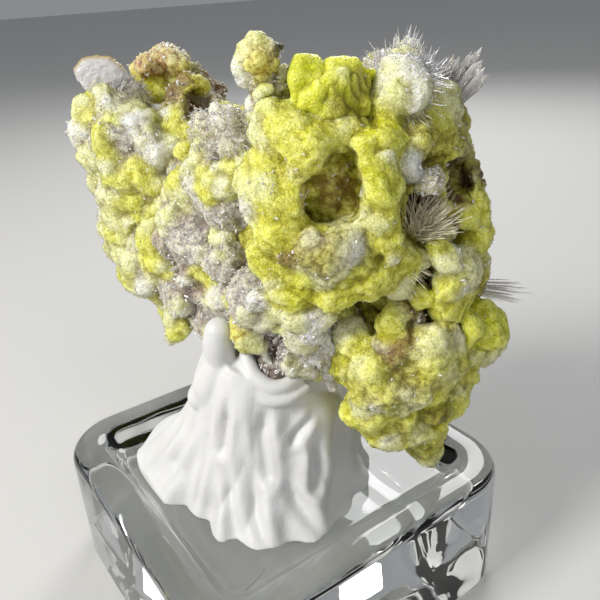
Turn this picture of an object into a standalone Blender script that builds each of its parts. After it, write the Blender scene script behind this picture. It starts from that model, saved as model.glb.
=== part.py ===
"""Creedite cluster on a dab of putty and a clear glass block, for Blender 4.5.

Three pieces: the crystal cluster, which grew as one, the putty that holds it and the block it stands on.
Run with: blender --background --python part.py
The block is square to the axes with its underside on Z = 0. The cluster and the putty are laid out in a
frame of their own, where the display side faces -Y, and that frame is turned about Z on the block.
"""

from math import cos, exp, pi, radians, sin

import bmesh
import bpy
import numpy as np
from mathutils import Vector
from mathutils.bvhtree import BVHTree

MM = 0.001

# Driving sizes, in millimetres unless the name says otherwise.
BLOCK_SIDE = 32.0
BLOCK_HEIGHT = 12.5
BLOCK_CORNER = 5.5  # plan radius of the four upright corners
RIM_WIDTH = 2.8  # flat rim before its edges are rounded
DISH_DEPTH = 1.8
DISH_SLOPE = 1.7  # how far the dish wall runs inwards on its way down
EDGE_ROUNDING = 1.3
DISPLAY_TURN = radians(-34.5)  # how far the display side is turned from the block's front
GAP = 0.3  # clearance between pieces that touch

PUTTY_FOOT = 10.4  # mean radius where the putty meets the dish
PUTTY_TOP = 6.2  # mean radius just under the cluster
PUTTY_FOOT_CENTRE = (-2.0, -0.6)
PUTTY_TOP_CENTRE = (0.4, -1.4)
PUTTY_HEIGHT = 12.6  # from the dish floor to the middle of the top
PUTTY_FALL = 0.42  # the top slopes down to the right by this much a millimetre
PUTTY_FOLDS = 13
FOLD_DEPTH = 0.42
FOOT_FLARE = (1.9, 0.9)  # power of the curve out to the foot: its mean, and how much more it is at the left
SHOULDER_START = 0.75  # share of the climb where the top edge starts to round in
SHOULDER_IN = 0.16  # share of the radius that it rounds in by
FOOT_LOBE = (radians(160), 2.9, 0.5)  # where the foot spreads, by how much, and over what angle
FOOT_TUCK = (radians(226), -2.4, 0.45)  # where it is drawn in
PUTTY_KNOB = ((-3.7, -3.3, 25.6), (1.9, 1.8, 3.1))  # lump thumbed up at the left: middle and half sizes

DISH_FLOOR = BLOCK_HEIGHT - DISH_DEPTH
DISH_HALF = BLOCK_SIDE / 2 - RIM_WIDTH - DISH_SLOPE  # half the flat floor's width
FLOOR_SQUARENESS = 5  # power of the rounded square that the putty's foot stays inside

# The lumps of each mass of the cluster, as (x, y, z, radius) in the display frame.
# Heart: the point that the mass is grown outwards from. Core: the matrix inside.
# Lumps: the balls of crystals on it. Pockets: balls of space cut into it.
MASSES = {
    "collar": {
        "heart": (8.0, -1.0, 36.5),
        "core": [
            (8.0, -2.0, 38.0, 5.6), (10.0, -1.0, 32.0, 5.0), (5.0, -1.5, 42.0, 4.4), (4.0, -1.0, 34.0, 5.2),
            (13.0, 0.0, 40.0, 4.4), (13.0, 0.0, 34.0, 4.6), (11.0, 1.0, 44.0, 3.0), (7.0, 2.5, 36.0, 6.0),
            (5.5, -3.8, 40.0, 3.4), (9.0, -4.0, 34.0, 3.4), (3.5, -4.4, 33.5, 3.2), (12.6, -3.4, 38.0, 2.8),
            (9.5, -4.0, 43.0, 2.6), (4.0, -4.2, 44.0, 2.8), (4.0, 3.5, 41.0, 4.6), (15.0, -2.6, 31.0, 3.2),
        ],
        "lumps": [
            (1.1, -6.0, 48.0, 1.7), (1.5, -5.6, 46.0, 1.1), (2.0, -5.0, 44.6, 1.3),  # finger
            (4.0, -6.0, 47.2, 1.3), (5.6, -6.0, 47.1, 1.3), (7.4, -5.2, 46.6, 1.4),  # crown
            (3.8, -7.0, 45.7, 1.0), (6.1, -7.0, 45.5, 1.3), (8.2, -6.0, 45.2, 1.4),
            (11.2, -2.6, 45.4, 2.3), (14.0, -2.2, 43.6, 1.9), (15.2, 0.0, 45.0, 1.5),
            (13.3, -3.2, 41.6, 2.0), (11.2, -4.4, 43.2, 1.7),
            (2.7, -7.0, 43.8, 2.2), (4.2, -8.0, 42.6, 1.8), (1.0, -7.0, 41.0, 2.0),  # round the pocket
            (2.7, -8.0, 39.5, 2.0), (2.2, -8.0, 37.3, 1.8), (6.8, -6.6, 43.4, 1.3), (9.0, -6.6, 42.4, 1.8),
            (8.5, -8.0, 40.8, 1.4), (8.7, -8.2, 38.4, 1.4), (8.9, -8.2, 36.2, 1.5), (6.5, -8.4, 36.4, 1.4),
            (4.2, -8.6, 36.2, 1.3), (11.0, -6.2, 40.6, 1.3), (11.6, -5.6, 42.2, 1.4),
            (1.3, -7.0, 35.0, 1.7), (2.8, -7.2, 32.4, 1.9), (5.7, -8.0, 32.8, 2.0),  # belly
            (8.1, -8.0, 33.5, 2.0), (10.2, -7.0, 33.9, 1.7), (10.4, -7.6, 31.9, 1.1),
            (16.2, -4.0, 36.8, 1.2), (16.4, -4.2, 34.6, 1.3), (15.4, -5.0, 32.4, 1.8),  # right flank
            (14.3, -5.8, 30.0, 1.8), (17.6, -4.8, 27.1, 2.0), (17.8, -4.6, 24.9, 1.6),
            (9.4, -7.0, 28.5, 1.2),
            (1.8, -4.2, 27.0, 2.2), (4.4, -5.0, 26.6, 1.6), (0.0, -4.2, 30.4, 2.6),  # grey underside
        ],
        "pockets": [
            (5.7, -9.0, 39.4, 2.0), (6.1, -9.0, 41.2, 1.5), (11.5, -7.6, 37.0, 2.2), (15.5, -3.8, 38.9, 1.8),
            (7.1, -8.0, 28.6, 1.9),
        ],
        "back_lumps": 46,
        "seed": 11,
    },
    "wing": {
        "heart": (-6.0, 6.0, 35.0),
        "core": [
            (-9.0, 7.5, 38.0, 5.0), (-7.0, 6.5, 33.0, 5.2), (-4.0, 4.5, 30.0, 5.2), (-10.0, 7.5, 33.0, 4.2),
            (-3.0, 4.0, 36.5, 5.0), (-6.0, 9.0, 41.0, 3.2), (-7.0, 6.0, 28.0, 4.0), (-2.0, 1.5, 27.0, 4.4),
            (1.0, 1.0, 28.0, 4.6), (-1.0, 1.0, 38.0, 4.4), (0.0, 4.5, 37.0, 4.6), (2.0, 5.4, 33.0, 5.2),
            (2.0, 7.0, 36.5, 4.8), (-9.5, 5.6, 30.0, 3.2), (-11.0, 6.4, 41.0, 3.2),
        ],
        "lumps": [
            (-11.5, 6.0, 44.3, 1.7), (-14.1, 7.0, 43.5, 1.3), (-14.8, 7.0, 40.8, 1.4),
            (-12.0, 5.6, 41.9, 1.5), (-13.0, 5.8, 39.1, 1.8), (-10.7, 4.8, 40.3, 1.5),
            (-8.9, 4.6, 42.2, 1.3), (-13.0, 5.8, 36.5, 1.9), (-10.5, 4.6, 37.2, 1.7),
            (-12.4, 5.8, 33.9, 1.9), (-9.8, 3.8, 34.8, 1.5), (-13.4, 7.0, 31.1, 1.5),
            (-11.5, 5.8, 29.7, 1.8), (-9.9, 4.8, 27.9, 1.6), (-8.4, 4.0, 25.8, 1.5),
            (-8.4, 4.0, 24.2, 1.1),
            (-7.3, 2.0, 42.0, 1.1), (-5.2, 1.0, 41.2, 1.1), (-3.5, 0.8, 41.6, 1.0),  # rim of the hollow
            (-4.0, 0.0, 39.9, 1.1), (-1.8, -3.0, 38.6, 1.3), (-6.4, 1.8, 38.8, 1.3),
            (-0.6, -4.0, 37.7, 1.2), (-1.2, -2.8, 41.2, 2.0), (-4.9, 0.6, 33.8, 2.8),
            (-7.0, 1.8, 28.6, 2.2), (-4.2, -0.8, 26.8, 1.2),
            (-7.9, 11.0, 44.4, 2.2), (-5.8, 11.0, 44.5, 2.0), (-4.4, 11.0, 43.2, 1.7),  # tall back edge
            (-8.2, 11.0, 45.9, 1.1), (-5.2, 9.4, 42.4, 1.7), (-2.0, 6.0, 42.7, 1.1),
        ],
        "pockets": [(-3.4, 5.2, 44.6, 3.0)],
        "back_lumps": 42,
        "seed": 23,
    },
    "foot_lobe": {
        "heart": (11.5, -3.2, 23.5),
        "core": [
            (11.0, -3.0, 24.0, 3.6), (12.6, -2.6, 21.0, 3.0), (9.0, -3.0, 26.0, 3.2), (13.0, -2.0, 28.0, 3.8),
        ],
        "lumps": [
            (6.8, -6.0, 24.7, 1.7), (8.5, -6.0, 20.5, 2.2), (9.9, -6.4, 18.5, 1.4),
            (11.8, -6.2, 23.4, 2.2), (13.3, -6.2, 25.6, 1.9), (14.5, -5.0, 21.0, 2.4),
            (15.9, -5.0, 23.5, 1.8), (12.9, -5.0, 17.8, 1.9), (13.3, -5.0, 15.9, 1.1),
            (6.4, -5.4, 26.4, 1.4),
        ],
        "pockets": [],
        "back_lumps": 14,
        "seed": 31,
    },
}
LUMP_BLEND = 0.16  # how softly two lumps run into each other
LUMP_SKIRT = 2.6  # slope of the foot that carries a lump down to its neighbour
BACK_LUMP_SIZES = (1.3, 2.5)
DIRECTION_LEVEL = 6  # subdivisions of the sphere of directions
KEPT_FACES = 0.065  # share of the faces that the joined masses keep

# Sprays of crystals: root, tip of the middle crystal, how many, spread in degrees, radius, and the
# length of the shortest as a share of the middle one's.
SPRAYS = {
    "top_fan": ((11.4, -2.4, 45.4), (11.9, -2.3, 49.3), 9, 24, 0.34, 0.72),
    "corner_fan": ((14.6, -0.4, 43.6), (17.4, 0.1, 47.4), 8, 13, 0.36, 0.78),
    "side_needles": ((16.4, -3.2, 29.8), (21.3, -3.0, 28.8), 6, 7, 0.16, 0.62),
    "left_crystals": ((-10.8, 6.2, 45.2), (-14.5, 5.9, 46.9), 5, 12, 0.95, 0.62),
    "tuft": ((12.4, -4.6, 37.6), (12.0, -8.2, 38.4), 12, 34, 0.22, 0.7),
    "low_point": ((13.1, -4.9, 17.2), (13.5, -5.2, 14.3), 3, 12, 0.62, 0.8),
    "collar_blade": ((0.6, -8.0, 36.4), (2.2, -9.4, 38.6), 3, 10, 0.2, 0.7),
    "back_fan": ((9.0, 7.0, 41.0), (10.2, 9.8, 44.6), 7, 20, 0.36, 0.7),
    "wing_fan": ((-12.6, 10.6, 33.0), (-15.2, 12.8, 34.0), 7, 18, 0.34, 0.7),
}
DRUSE_PATCHES = {  # middle of the patch, radius, how many points
    "grey_wall": ((-4.6, -1.6, 33.6), 4.6, 22),
    "grey_step": ((-0.4, -6.2, 29.6), 3.6, 12),
    "grey_shoulder": ((-1.4, -4.4, 41.4), 2.2, 8),
    "grey_back": ((2.0, 8.0, 33.0), 4.5, 16),
}
DRUSE_RADIUS = (0.3, 0.6)


def clear_scene():
    for obj in list(bpy.data.objects):
        bpy.data.objects.remove(obj)


def collection(name, hidden=False):
    made = bpy.data.collections.new(name)
    bpy.context.scene.collection.children.link(made)
    made.hide_render = hidden
    return made


def material(name, colour, roughness, transmission=0.0, ior=1.5):
    made = bpy.data.materials.new(name)
    made.use_nodes = True
    shader = made.node_tree.nodes["Principled BSDF"]
    shader.inputs["Base Color"].default_value = (*colour, 1.0)
    shader.inputs["Roughness"].default_value = roughness
    shader.inputs["Metallic"].default_value = 0.0
    shader.inputs["Transmission Weight"].default_value = transmission
    shader.inputs["IOR"].default_value = ior
    return made


def object_from(bm, name, group, look=None, parent=None):
    mesh = bpy.data.meshes.new(name)
    bm.to_mesh(mesh)
    bm.free()
    obj = bpy.data.objects.new(name, mesh)
    group.objects.link(obj)
    obj.parent = parent
    if look:
        mesh.materials.append(look)
    return obj


def make_helper(obj):
    obj.hide_render = True
    obj.display_type = "WIRE"
    return obj


def join(obj, other, operation="UNION"):
    """Adds a Boolean of the other object, or of every object of a collection, to obj."""
    modifier = obj.modifiers.new(operation.lower() + "_" + other.name, "BOOLEAN")
    modifier.operation = operation
    if isinstance(other, bpy.types.Collection):
        modifier.operand_type = "COLLECTION"
        modifier.collection = other
    else:
        modifier.object = other


def settle(obj):
    """Applies the modifiers and keeps the outer shell alone.

    Joined lumps leave sealed gaps inside, which go.
    """
    bpy.context.view_layer.update()
    evaluated = obj.evaluated_get(bpy.context.evaluated_depsgraph_get())
    bm = bmesh.new()
    bm.from_mesh(evaluated.data)
    unseen = set(bm.verts)
    shells = []
    while unseen:
        shell, edge_of_shell = set(), [unseen.pop()]
        while edge_of_shell:
            vert = edge_of_shell.pop()
            shell.add(vert)
            near = {edge.other_vert(vert) for edge in vert.link_edges} & unseen
            unseen -= near
            edge_of_shell.extend(near)
        shells.append(shell)
    shells.sort(key=len)
    bmesh.ops.delete(bm, geom=[v for shell in shells[:-1] for v in shell], context="VERTS")
    obj.modifiers.clear()
    bm.to_mesh(obj.data)
    bm.free()


# The glass block


def build_block(group, look):
    """A square slab with round upright corners, and a shallow dish let into its top."""
    bm = bmesh.new()
    bmesh.ops.create_cube(bm, size=1.0)
    bmesh.ops.scale(bm, vec=(BLOCK_SIDE * MM, BLOCK_SIDE * MM, BLOCK_HEIGHT * MM), verts=bm.verts)
    bmesh.ops.translate(bm, vec=(0, 0, BLOCK_HEIGHT * MM / 2), verts=bm.verts)
    upright = [e for e in bm.edges if abs(e.verts[0].co.z - e.verts[1].co.z) > BLOCK_HEIGHT * MM / 2]
    bmesh.ops.bevel(bm, geom=upright, offset=BLOCK_CORNER * MM, segments=7, profile=0.5, affect="EDGES")
    top = max(bm.faces, key=lambda f: f.calc_center_median().z)
    bottom = min(bm.faces, key=lambda f: f.calc_center_median().z)
    rounding = bm.edges.layers.float.new("bevel_weight_edge")
    for edge in top.edges:
        edge[rounding] = 1.0
    for edge in bottom.edges:
        edge[rounding] = 0.45
    bmesh.ops.inset_region(bm, faces=[top], thickness=RIM_WIDTH * MM)
    for edge in top.edges:
        edge[rounding] = 0.8
    bmesh.ops.inset_region(bm, faces=[top], thickness=DISH_SLOPE * MM, depth=-DISH_DEPTH * MM)
    for edge in top.edges:
        edge[rounding] = 1.0
    block = object_from(bm, "glass_block", group, look)
    bevel = block.modifiers.new("rounded edges", "BEVEL")
    bevel.limit_method = "WEIGHT"
    bevel.width = EDGE_ROUNDING * MM
    bevel.segments = 3
    block.data.shade_smooth()
    return block


# The crystal cluster


def ray_reach(directions, heart, balls):
    """How far from the heart each direction first leaves each ball: rows are directions, columns are balls.

    Past a ball's rim the value falls off by LUMP_SKIRT, so the ball stands on a cone and not on a cliff.
    """
    middle = balls[:, :3] - heart
    along = directions @ middle.T
    aside = np.sqrt(np.maximum((middle**2).sum(1) - along**2, 0.0))
    radius = balls[:, 3]
    half_chord = np.sqrt(np.maximum(radius**2 - aside**2, 0.0))
    return along + half_chord - LUMP_SKIRT * np.maximum(aside - radius, 0.0)


def grown_radius(directions, heart, balls, pockets):
    """The distance from the heart to the outermost ball.

    It is blended where balls meet and cut back in the pockets.
    """
    reach = ray_reach(directions, heart, balls)
    highest = reach.max(axis=1)
    softened = highest + LUMP_BLEND * np.log(np.exp((reach - highest[:, None]) / LUMP_BLEND).sum(axis=1))
    for pocket in pockets:
        middle = pocket[:3] - heart
        along = directions @ middle
        aside = np.sqrt(np.maximum((middle**2).sum() - along**2, 0.0))
        near_wall = along - np.sqrt(np.maximum(pocket[3] ** 2 - aside**2, 0.0))
        facing = (aside < pocket[3]) & (along > 0)
        softened = np.where(facing, np.minimum(softened, near_wall), softened)
    return softened


def balls_of(plan):
    """The core and the placed lumps of a mass, with seeded lumps all over the side that faces away."""
    heart = np.array(plan["heart"])
    core = np.array(plan["core"])
    rng = np.random.default_rng(plan["seed"])
    count = plan["back_lumps"]
    golden = pi * (3.0 - 5.0**0.5)
    turn = golden * np.arange(count) + rng.uniform(-0.25, 0.25, count)
    towards_back = np.linspace(0.98, -0.22, count)
    ring = np.sqrt(1.0 - towards_back**2)
    directions = np.column_stack([ring * np.cos(turn), towards_back, ring * np.sin(turn)])
    radius = rng.uniform(*BACK_LUMP_SIZES, count)
    reach = grown_radius(directions, heart, core, [])
    centres = heart + directions * (reach - 0.45 * radius)[:, None]
    return np.vstack([core, plan["lumps"], np.column_stack([centres, radius])])


def mass_mesh(plan):
    """An icosphere whose points are pushed out from the heart to the surface of the balls."""
    bm = bmesh.new()
    bmesh.ops.create_icosphere(bm, subdivisions=DIRECTION_LEVEL, radius=1.0)
    directions = np.array([v.co for v in bm.verts])
    directions /= np.linalg.norm(directions, axis=1)[:, None]
    heart = np.array(plan["heart"])
    reach = grown_radius(directions, heart, balls_of(plan), np.array(plan["pockets"]).reshape(-1, 4))
    for vert, place in zip(bm.verts, (heart + directions * reach[:, None]) * MM):
        vert.co = place
    return bm


def crystal(root, tip, radius, sides=6):
    """A long prism with a pointed end, from the root to the tip."""
    axis = Vector(tip) - Vector(root)
    point = min(2.2 * radius, 0.45 * axis.length)
    body = axis.length - point
    bm = bmesh.new()
    bmesh.ops.create_cone(
        bm, cap_ends=True, segments=sides, radius1=0.8 * radius * MM, radius2=radius * MM, depth=body * MM
    )
    bmesh.ops.translate(bm, vec=(0, 0, body * MM / 2), verts=bm.verts)
    end = max(bm.faces, key=lambda f: f.calc_center_median().z)
    bmesh.ops.poke(bm, faces=[end], offset=point * MM)
    bmesh.ops.rotate(bm, matrix=axis.to_track_quat("Z", "X").to_matrix(), verts=bm.verts)
    bmesh.ops.translate(bm, vec=Vector(root) * MM, verts=bm.verts)
    return bm


def spray_lines(plan, rng):
    """The root, tip and radius of each crystal of a spray: the middle one, and the rest fanned round it."""
    root, tip, count, spread, radius, shortest = plan
    root, tip = Vector(root), Vector(tip)
    axis = tip - root
    side = axis.orthogonal().normalized()
    lines = [(root, tip, radius)]
    for i in range(1, count):
        lean = radians(spread) * (0.45 + 0.55 * rng.random())
        round_axis = 2 * pi * (i + 0.5 * rng.random()) / (count - 1)
        way = axis.normalized() * cos(lean) + (
            side * cos(round_axis) + axis.normalized().cross(side) * sin(round_axis)
        ) * sin(lean)
        length = axis.length * (shortest + (1 - shortest) * rng.random())
        start = root + (way - axis.normalized()) * radius
        lines.append((start, start + way * length, radius * (0.7 + 0.3 * rng.random())))
    return lines


def druse_lines(patch, rng, tree):
    """Short points standing on the masses where the patch's rays meet them."""
    middle, spread, count = patch
    middle = Vector(middle)
    lines = []
    for _ in range(count):
        offset = Vector(rng.uniform(-1, 1, 3)) * spread * 0.6
        place, normal, _, _ = tree.find_nearest((middle + offset) * MM)
        radius = rng.uniform(*DRUSE_RADIUS)
        way = (normal + Vector(rng.uniform(-0.45, 0.45, 3))).normalized()
        place = place / MM
        lines.append((place - way * radius * 1.5, place + way * radius * rng.uniform(1.6, 2.8), radius))
    return lines


def build_cluster(group, helpers, crystals, look, turned):
    """The masses in one body, thinned to flat facets, with the sprays and druse points fused to it.

    Returns the cutter for the hollow that it sits in.
    """
    names = list(MASSES)
    cluster = object_from(mass_mesh(MASSES[names[0]]), "crystal_cluster", group, look, turned)
    for name in names[1:]:
        part = make_helper(object_from(mass_mesh(MASSES[name]), name, helpers, parent=turned))
        join(cluster, part)
    settle(cluster)
    thinned = cluster.modifiers.new("facets", "DECIMATE")
    thinned.ratio = KEPT_FACES
    settle(cluster)
    skin = cluster.data
    seat = make_helper(bpy.data.objects.new("seat", skin.copy()))
    helpers.objects.link(seat)
    seat.parent = turned
    swollen = seat.modifiers.new("clearance", "DISPLACE")
    swollen.strength = GAP * MM
    swollen.mid_level = 0.0
    tree = BVHTree.FromPolygons([v.co for v in skin.vertices], [p.vertices for p in skin.polygons])
    rng = np.random.default_rng(5)
    lines = [line for plan in SPRAYS.values() for line in spray_lines(plan, rng)]
    lines += [line for patch in DRUSE_PATCHES.values() for line in druse_lines(patch, rng, tree)]
    for i, (root, tip, radius) in enumerate(lines):
        make_helper(object_from(crystal(root, tip, radius), f"crystal_{i:03d}", crystals, parent=turned))
    join(cluster, crystals)
    settle(cluster)
    return seat


# The putty


def swelling(turn, at, amount, width):
    """A bell-shaped change of radius round the angle it is at."""
    off = (turn - at + pi) % (2 * pi) - pi
    return amount * exp(-((off / width) ** 2))


def putty_point(turn, rise):
    """A place on the putty.

    The turn is the angle round it, and the rise runs 0 to 1 from under its middle to its top.
    """
    foot_edge, top_edge = 0.2, 0.84
    fold = cos(PUTTY_FOLDS * turn + 0.9 * sin(2 * turn)) + 0.5 * cos(5 * turn + 1.1)
    foot = PUTTY_FOOT + swelling(turn, *FOOT_LOBE) + swelling(turn, *FOOT_TUCK) + 0.35 * fold
    top = PUTTY_TOP * (1 + 0.05 * cos(3 * turn + 0.4))
    height = PUTTY_HEIGHT - PUTTY_FALL * top * cos(turn)
    flare = FOOT_FLARE[0] - FOOT_FLARE[1] * cos(turn)
    if rise < foot_edge:
        climb, out, up = 0.0, foot * rise / foot_edge, 0.0
    elif rise < top_edge:
        climb = (rise - foot_edge) / (top_edge - foot_edge)
        rounding = max(0.0, climb - SHOULDER_START) / (1 - SHOULDER_START)
        out = (top + (foot - top) * (1 - climb) ** flare) * (1 - SHOULDER_IN * rounding**2)
        out += FOLD_DEPTH * fold * sin(pi * climb) ** 0.8
        up = height * climb
    else:
        climb, inwards = 1.0, (1 - rise) / (1 - top_edge)
        out = (1 - SHOULDER_IN) * top * inwards
        up = height + PUTTY_FALL * top * cos(turn) * (1 - inwards)
    centre = Vector(PUTTY_FOOT_CENTRE).lerp(Vector(PUTTY_TOP_CENTRE), climb)
    place = Vector((centre.x + out * cos(turn), centre.y + out * sin(turn), DISH_FLOOR + GAP + up))
    return kept_on_floor(place)


def kept_on_floor(place):
    """Draws a point in towards the block's centre until it is over the dish's flat floor."""
    across = place.x * cos(DISPLAY_TURN) - place.y * sin(DISPLAY_TURN)
    along = place.x * sin(DISPLAY_TURN) + place.y * cos(DISPLAY_TURN)
    power = FLOOR_SQUARENESS
    square_radius = (abs(across) ** power + abs(along) ** power) ** (1 / power)
    share = min(1.0, (DISH_HALF - GAP) / max(square_radius, GAP))
    return Vector((place.x * share, place.y * share, place.z))


def build_putty(group, helpers, look, turned, seat):
    """A mound pressed up in folds, with a knob at one side, and hollowed where the cluster sits in it."""
    rings, segments = 14, 48
    bm = bmesh.new()
    bmesh.ops.create_uvsphere(bm, u_segments=segments, v_segments=rings, radius=1.0)
    for vert in bm.verts:
        rise = np.arccos(np.clip(-vert.co.z, -1.0, 1.0)) / pi
        vert.co = putty_point(np.arctan2(vert.co.y, vert.co.x), rise) * MM
    putty = object_from(bm, "putty", group, look, turned)
    knob = bmesh.new()
    bmesh.ops.create_uvsphere(knob, u_segments=14, v_segments=9, radius=1.0)
    middle, half_sizes = PUTTY_KNOB
    bmesh.ops.scale(knob, vec=Vector(half_sizes) * MM, verts=knob.verts)
    bmesh.ops.translate(knob, vec=Vector(middle) * MM, verts=knob.verts)
    join(putty, make_helper(object_from(knob, "putty_knob", helpers, parent=turned)))
    join(putty, seat, "DIFFERENCE")
    settle(putty)
    putty.data.shade_smooth()
    return putty


def main():
    clear_scene()
    pieces = collection("creedite cluster")
    helpers = collection("cutters", hidden=True)
    crystals = collection("crystals", hidden=True)
    turned = bpy.data.objects.new("display_turn", None)
    turned.rotation_euler.z = DISPLAY_TURN
    pieces.objects.link(turned)
    build_block(pieces, material("clear glass", (0.92, 0.95, 0.93), 0.02, transmission=1.0))
    seat = build_cluster(pieces, helpers, crystals, material("creedite", (0.72, 0.74, 0.16), 0.55), turned)
    build_putty(pieces, helpers, material("white putty", (0.82, 0.81, 0.78), 0.5), turned, seat)


main()
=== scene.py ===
# Looks of a creedite cluster held by putty on a clear glass block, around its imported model.
# Lengths are in millimetres in the display frame (display side to -Y) until toFrame() turns them into metres.
from math import cos, pi, radians, sin

import bpy
import numpy as np
from mathutils import Matrix, Vector


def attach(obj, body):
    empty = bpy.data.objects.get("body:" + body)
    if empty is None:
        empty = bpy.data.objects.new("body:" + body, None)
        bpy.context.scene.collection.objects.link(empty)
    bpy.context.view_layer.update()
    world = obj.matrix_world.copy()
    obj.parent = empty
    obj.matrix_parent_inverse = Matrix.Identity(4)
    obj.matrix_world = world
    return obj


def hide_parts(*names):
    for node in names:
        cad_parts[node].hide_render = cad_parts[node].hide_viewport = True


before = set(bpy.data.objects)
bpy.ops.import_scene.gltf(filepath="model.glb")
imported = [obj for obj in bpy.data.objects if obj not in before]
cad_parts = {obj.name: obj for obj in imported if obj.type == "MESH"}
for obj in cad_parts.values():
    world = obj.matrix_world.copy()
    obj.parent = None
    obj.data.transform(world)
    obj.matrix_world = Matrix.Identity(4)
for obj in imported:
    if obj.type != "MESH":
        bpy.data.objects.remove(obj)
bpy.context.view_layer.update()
print("frame loaded")

mm = 0.001
displayTurn = radians(-34.5)  # the display side is turned by this from the block's front


# Shared shapes

def toFrame(points):
    # display-frame millimetres to metres in the object's frame: one turn about Z
    c, s = cos(displayTurn), sin(displayTurn)
    return points @ np.array([[c, s, 0.0], [-s, c, 0.0], [0.0, 0.0, 1.0]]) * mm


def unit(vectors):
    # each vector over its own length
    return vectors / np.linalg.norm(vectors, axis=-1, keepdims=True)


def putMesh(name, points, faces, material, attributes=None, smooth=True):
    # points in display-frame millimetres; attributes are one number or one colour a point
    mesh = bpy.data.meshes.new(name)
    mesh.from_pydata(toFrame(points), [], faces if isinstance(faces, list) else faces.tolist())
    for key, values in (attributes or {}).items():
        kind = "FLOAT" if values.ndim == 1 else "FLOAT_COLOR"
        layer = mesh.attributes.new(key, kind, "POINT")
        if values.ndim == 1:
            layer.data.foreach_set("value", values.astype(np.float32))
        else:
            rgba = np.column_stack([values, np.ones(len(values))])
            layer.data.foreach_set("color", rgba.ravel().astype(np.float32))
    mesh.polygons.foreach_set("use_smooth", np.full(len(faces), smooth))
    mesh.materials.append(material)
    mesh.update()
    piece = bpy.data.objects.new(name, mesh)
    bpy.context.scene.collection.objects.link(piece)
    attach(piece, "root")
    return piece


def gridFaces(rows, columns):
    # quads between the rings of a grid that closes round its columns
    i, j = np.meshgrid(np.arange(rows - 1) * columns, np.arange(columns), indexing="ij")
    k = (j + 1) % columns
    return np.stack([i + j, i + k, i + columns + k, i + columns + j], -1).reshape(-1, 4)


def closedRings(rings, first, last):
    # quads from ring to ring, and a fan over each end ring to a point in its middle
    count, top = len(rings[0]), len(rings[0]) * (len(rings) - 1)
    points = np.concatenate(rings + [[first, last]])
    i = np.arange(count)
    k = (i + 1) % count
    firstFan = np.stack([k, i, np.full(count, len(points) - 2)], -1)
    lastFan = np.stack([top + i, top + k, np.full(count, len(points) - 1)], -1)
    return points, gridFaces(len(rings), count).tolist() + firstFan.tolist() + lastFan.tolist()


def cubeSphere(cells):
    # directions: six square grids of equal angles bulged to a sphere, with the points of shared edges merged
    t = np.tan(np.linspace(-pi / 4, pi / 4, cells + 1))
    u, v = np.meshgrid(t, t, indexing="ij")
    one = np.ones_like(u)
    sides = [(one, u, v), (-one, v, u), (v, one, u), (u, -one, v), (u, v, one), (v, u, -one)]
    points = np.concatenate([np.stack(side, -1).reshape(-1, 3) for side in sides])
    i, j = np.meshgrid(np.arange(cells), np.arange(cells), indexing="ij")
    corner = (i * (cells + 1) + j).ravel()
    quad = np.stack([corner, corner + cells + 1, corner + cells + 2, corner + 1], -1)
    faces = np.concatenate([quad + n * (cells + 1) ** 2 for n in range(6)])
    _, first, merged = np.unique(np.round(points, 6), axis=0, return_index=True, return_inverse=True)
    return unit(points[first]), merged.ravel()[faces]


def hashed(cell, seed):
    # a number from 0 to 1 for each lattice cell: its place times large primes, scrambled by shifts and
    # products
    key = cell[..., 0] * 73856093 ^ cell[..., 1] * 19349663 ^ cell[..., 2] * 83492791 ^ seed * 6542989
    key = (key ^ (key >> 13)) * 1274126177
    key = (key ^ (key >> 15)) * 668265263
    return ((key ^ (key >> 16)) & 0xFFFF) / 65535.0


def softNoise(points, size, seed):
    # -1 to 1: hashed values at the corners of cubes of this size, blended by a smoothstep
    place = points / size
    cell = np.floor(place).astype(np.int64)
    part = place - cell
    part = part * part * (3 - 2 * part)
    total = np.zeros(len(points))
    for corner in np.ndindex(2, 2, 2):
        share = np.prod(np.where(corner, part, 1 - part), axis=1)
        total += share * hashed(cell + np.array(corner), seed)
    return 2 * total - 1


def layered(points, layers):
    # the sum of share x soft noise, for layers of (size, share, seed)
    return sum(share * softNoise(points, size, seed) for size, share, seed in layers)


def grains(points, size, seed):
    # knobs from 0 to 1 round one seeded point in each cube of this size: a dome, 1 - 1.1 d1^2, pinched to a
    # crease where the distances to the two nearest points, d1 and d2, are equal
    place = points / size
    cell = np.floor(place).astype(np.int64)
    nearest, second = np.full(len(points), 9.0), np.full(len(points), 9.0)
    for corner in np.ndindex(3, 3, 3):
        near = cell + np.array(corner) - 1
        seedPoint = near + np.stack([hashed(near, seed + n) for n in range(3)], -1)
        distance = ((place - seedPoint) ** 2).sum(1)
        second = np.minimum(second, np.maximum(nearest, distance))
        nearest = np.minimum(nearest, distance)
    crease = np.clip((np.sqrt(second) - np.sqrt(nearest)) / 0.3, 0, 1)
    return np.clip(1 - 1.1 * nearest, 0, 1) * (0.45 + 0.55 * crease * (2 - crease))


def crossedDiagonals(points, faces):
    # a vector square to each quad, as long as twice its area
    a, b, c, d = (points[faces[:, n]] for n in range(4))
    return np.cross(c - a, d - b)


def vertexNormals(points, faces):
    # the sum of the crossed diagonals of the quads round each point, added corner by corner
    across = crossedDiagonals(points, faces)
    total = np.stack([
        sum(np.bincount(faces[:, n], across[:, axis], len(points)) for n in range(4)) for axis in range(3)
    ], -1)
    return unit(total + 1e-12)


def squareTo(ways):
    # two directions square to each way and to each other
    helper = np.where(np.abs(ways[:, 2:]) < 0.9, [[0.0, 0.0, 1.0]], [[1.0, 0.0, 0.0]])
    u = unit(np.cross(ways, helper))
    return u, np.cross(ways, u)


def repeated(shape, pointsEach, count):
    # the faces of one small shape, numbered on for each of its copies
    return (shape[None] + pointsEach * np.arange(count)[:, None, None]).reshape(-1, 3)


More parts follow.
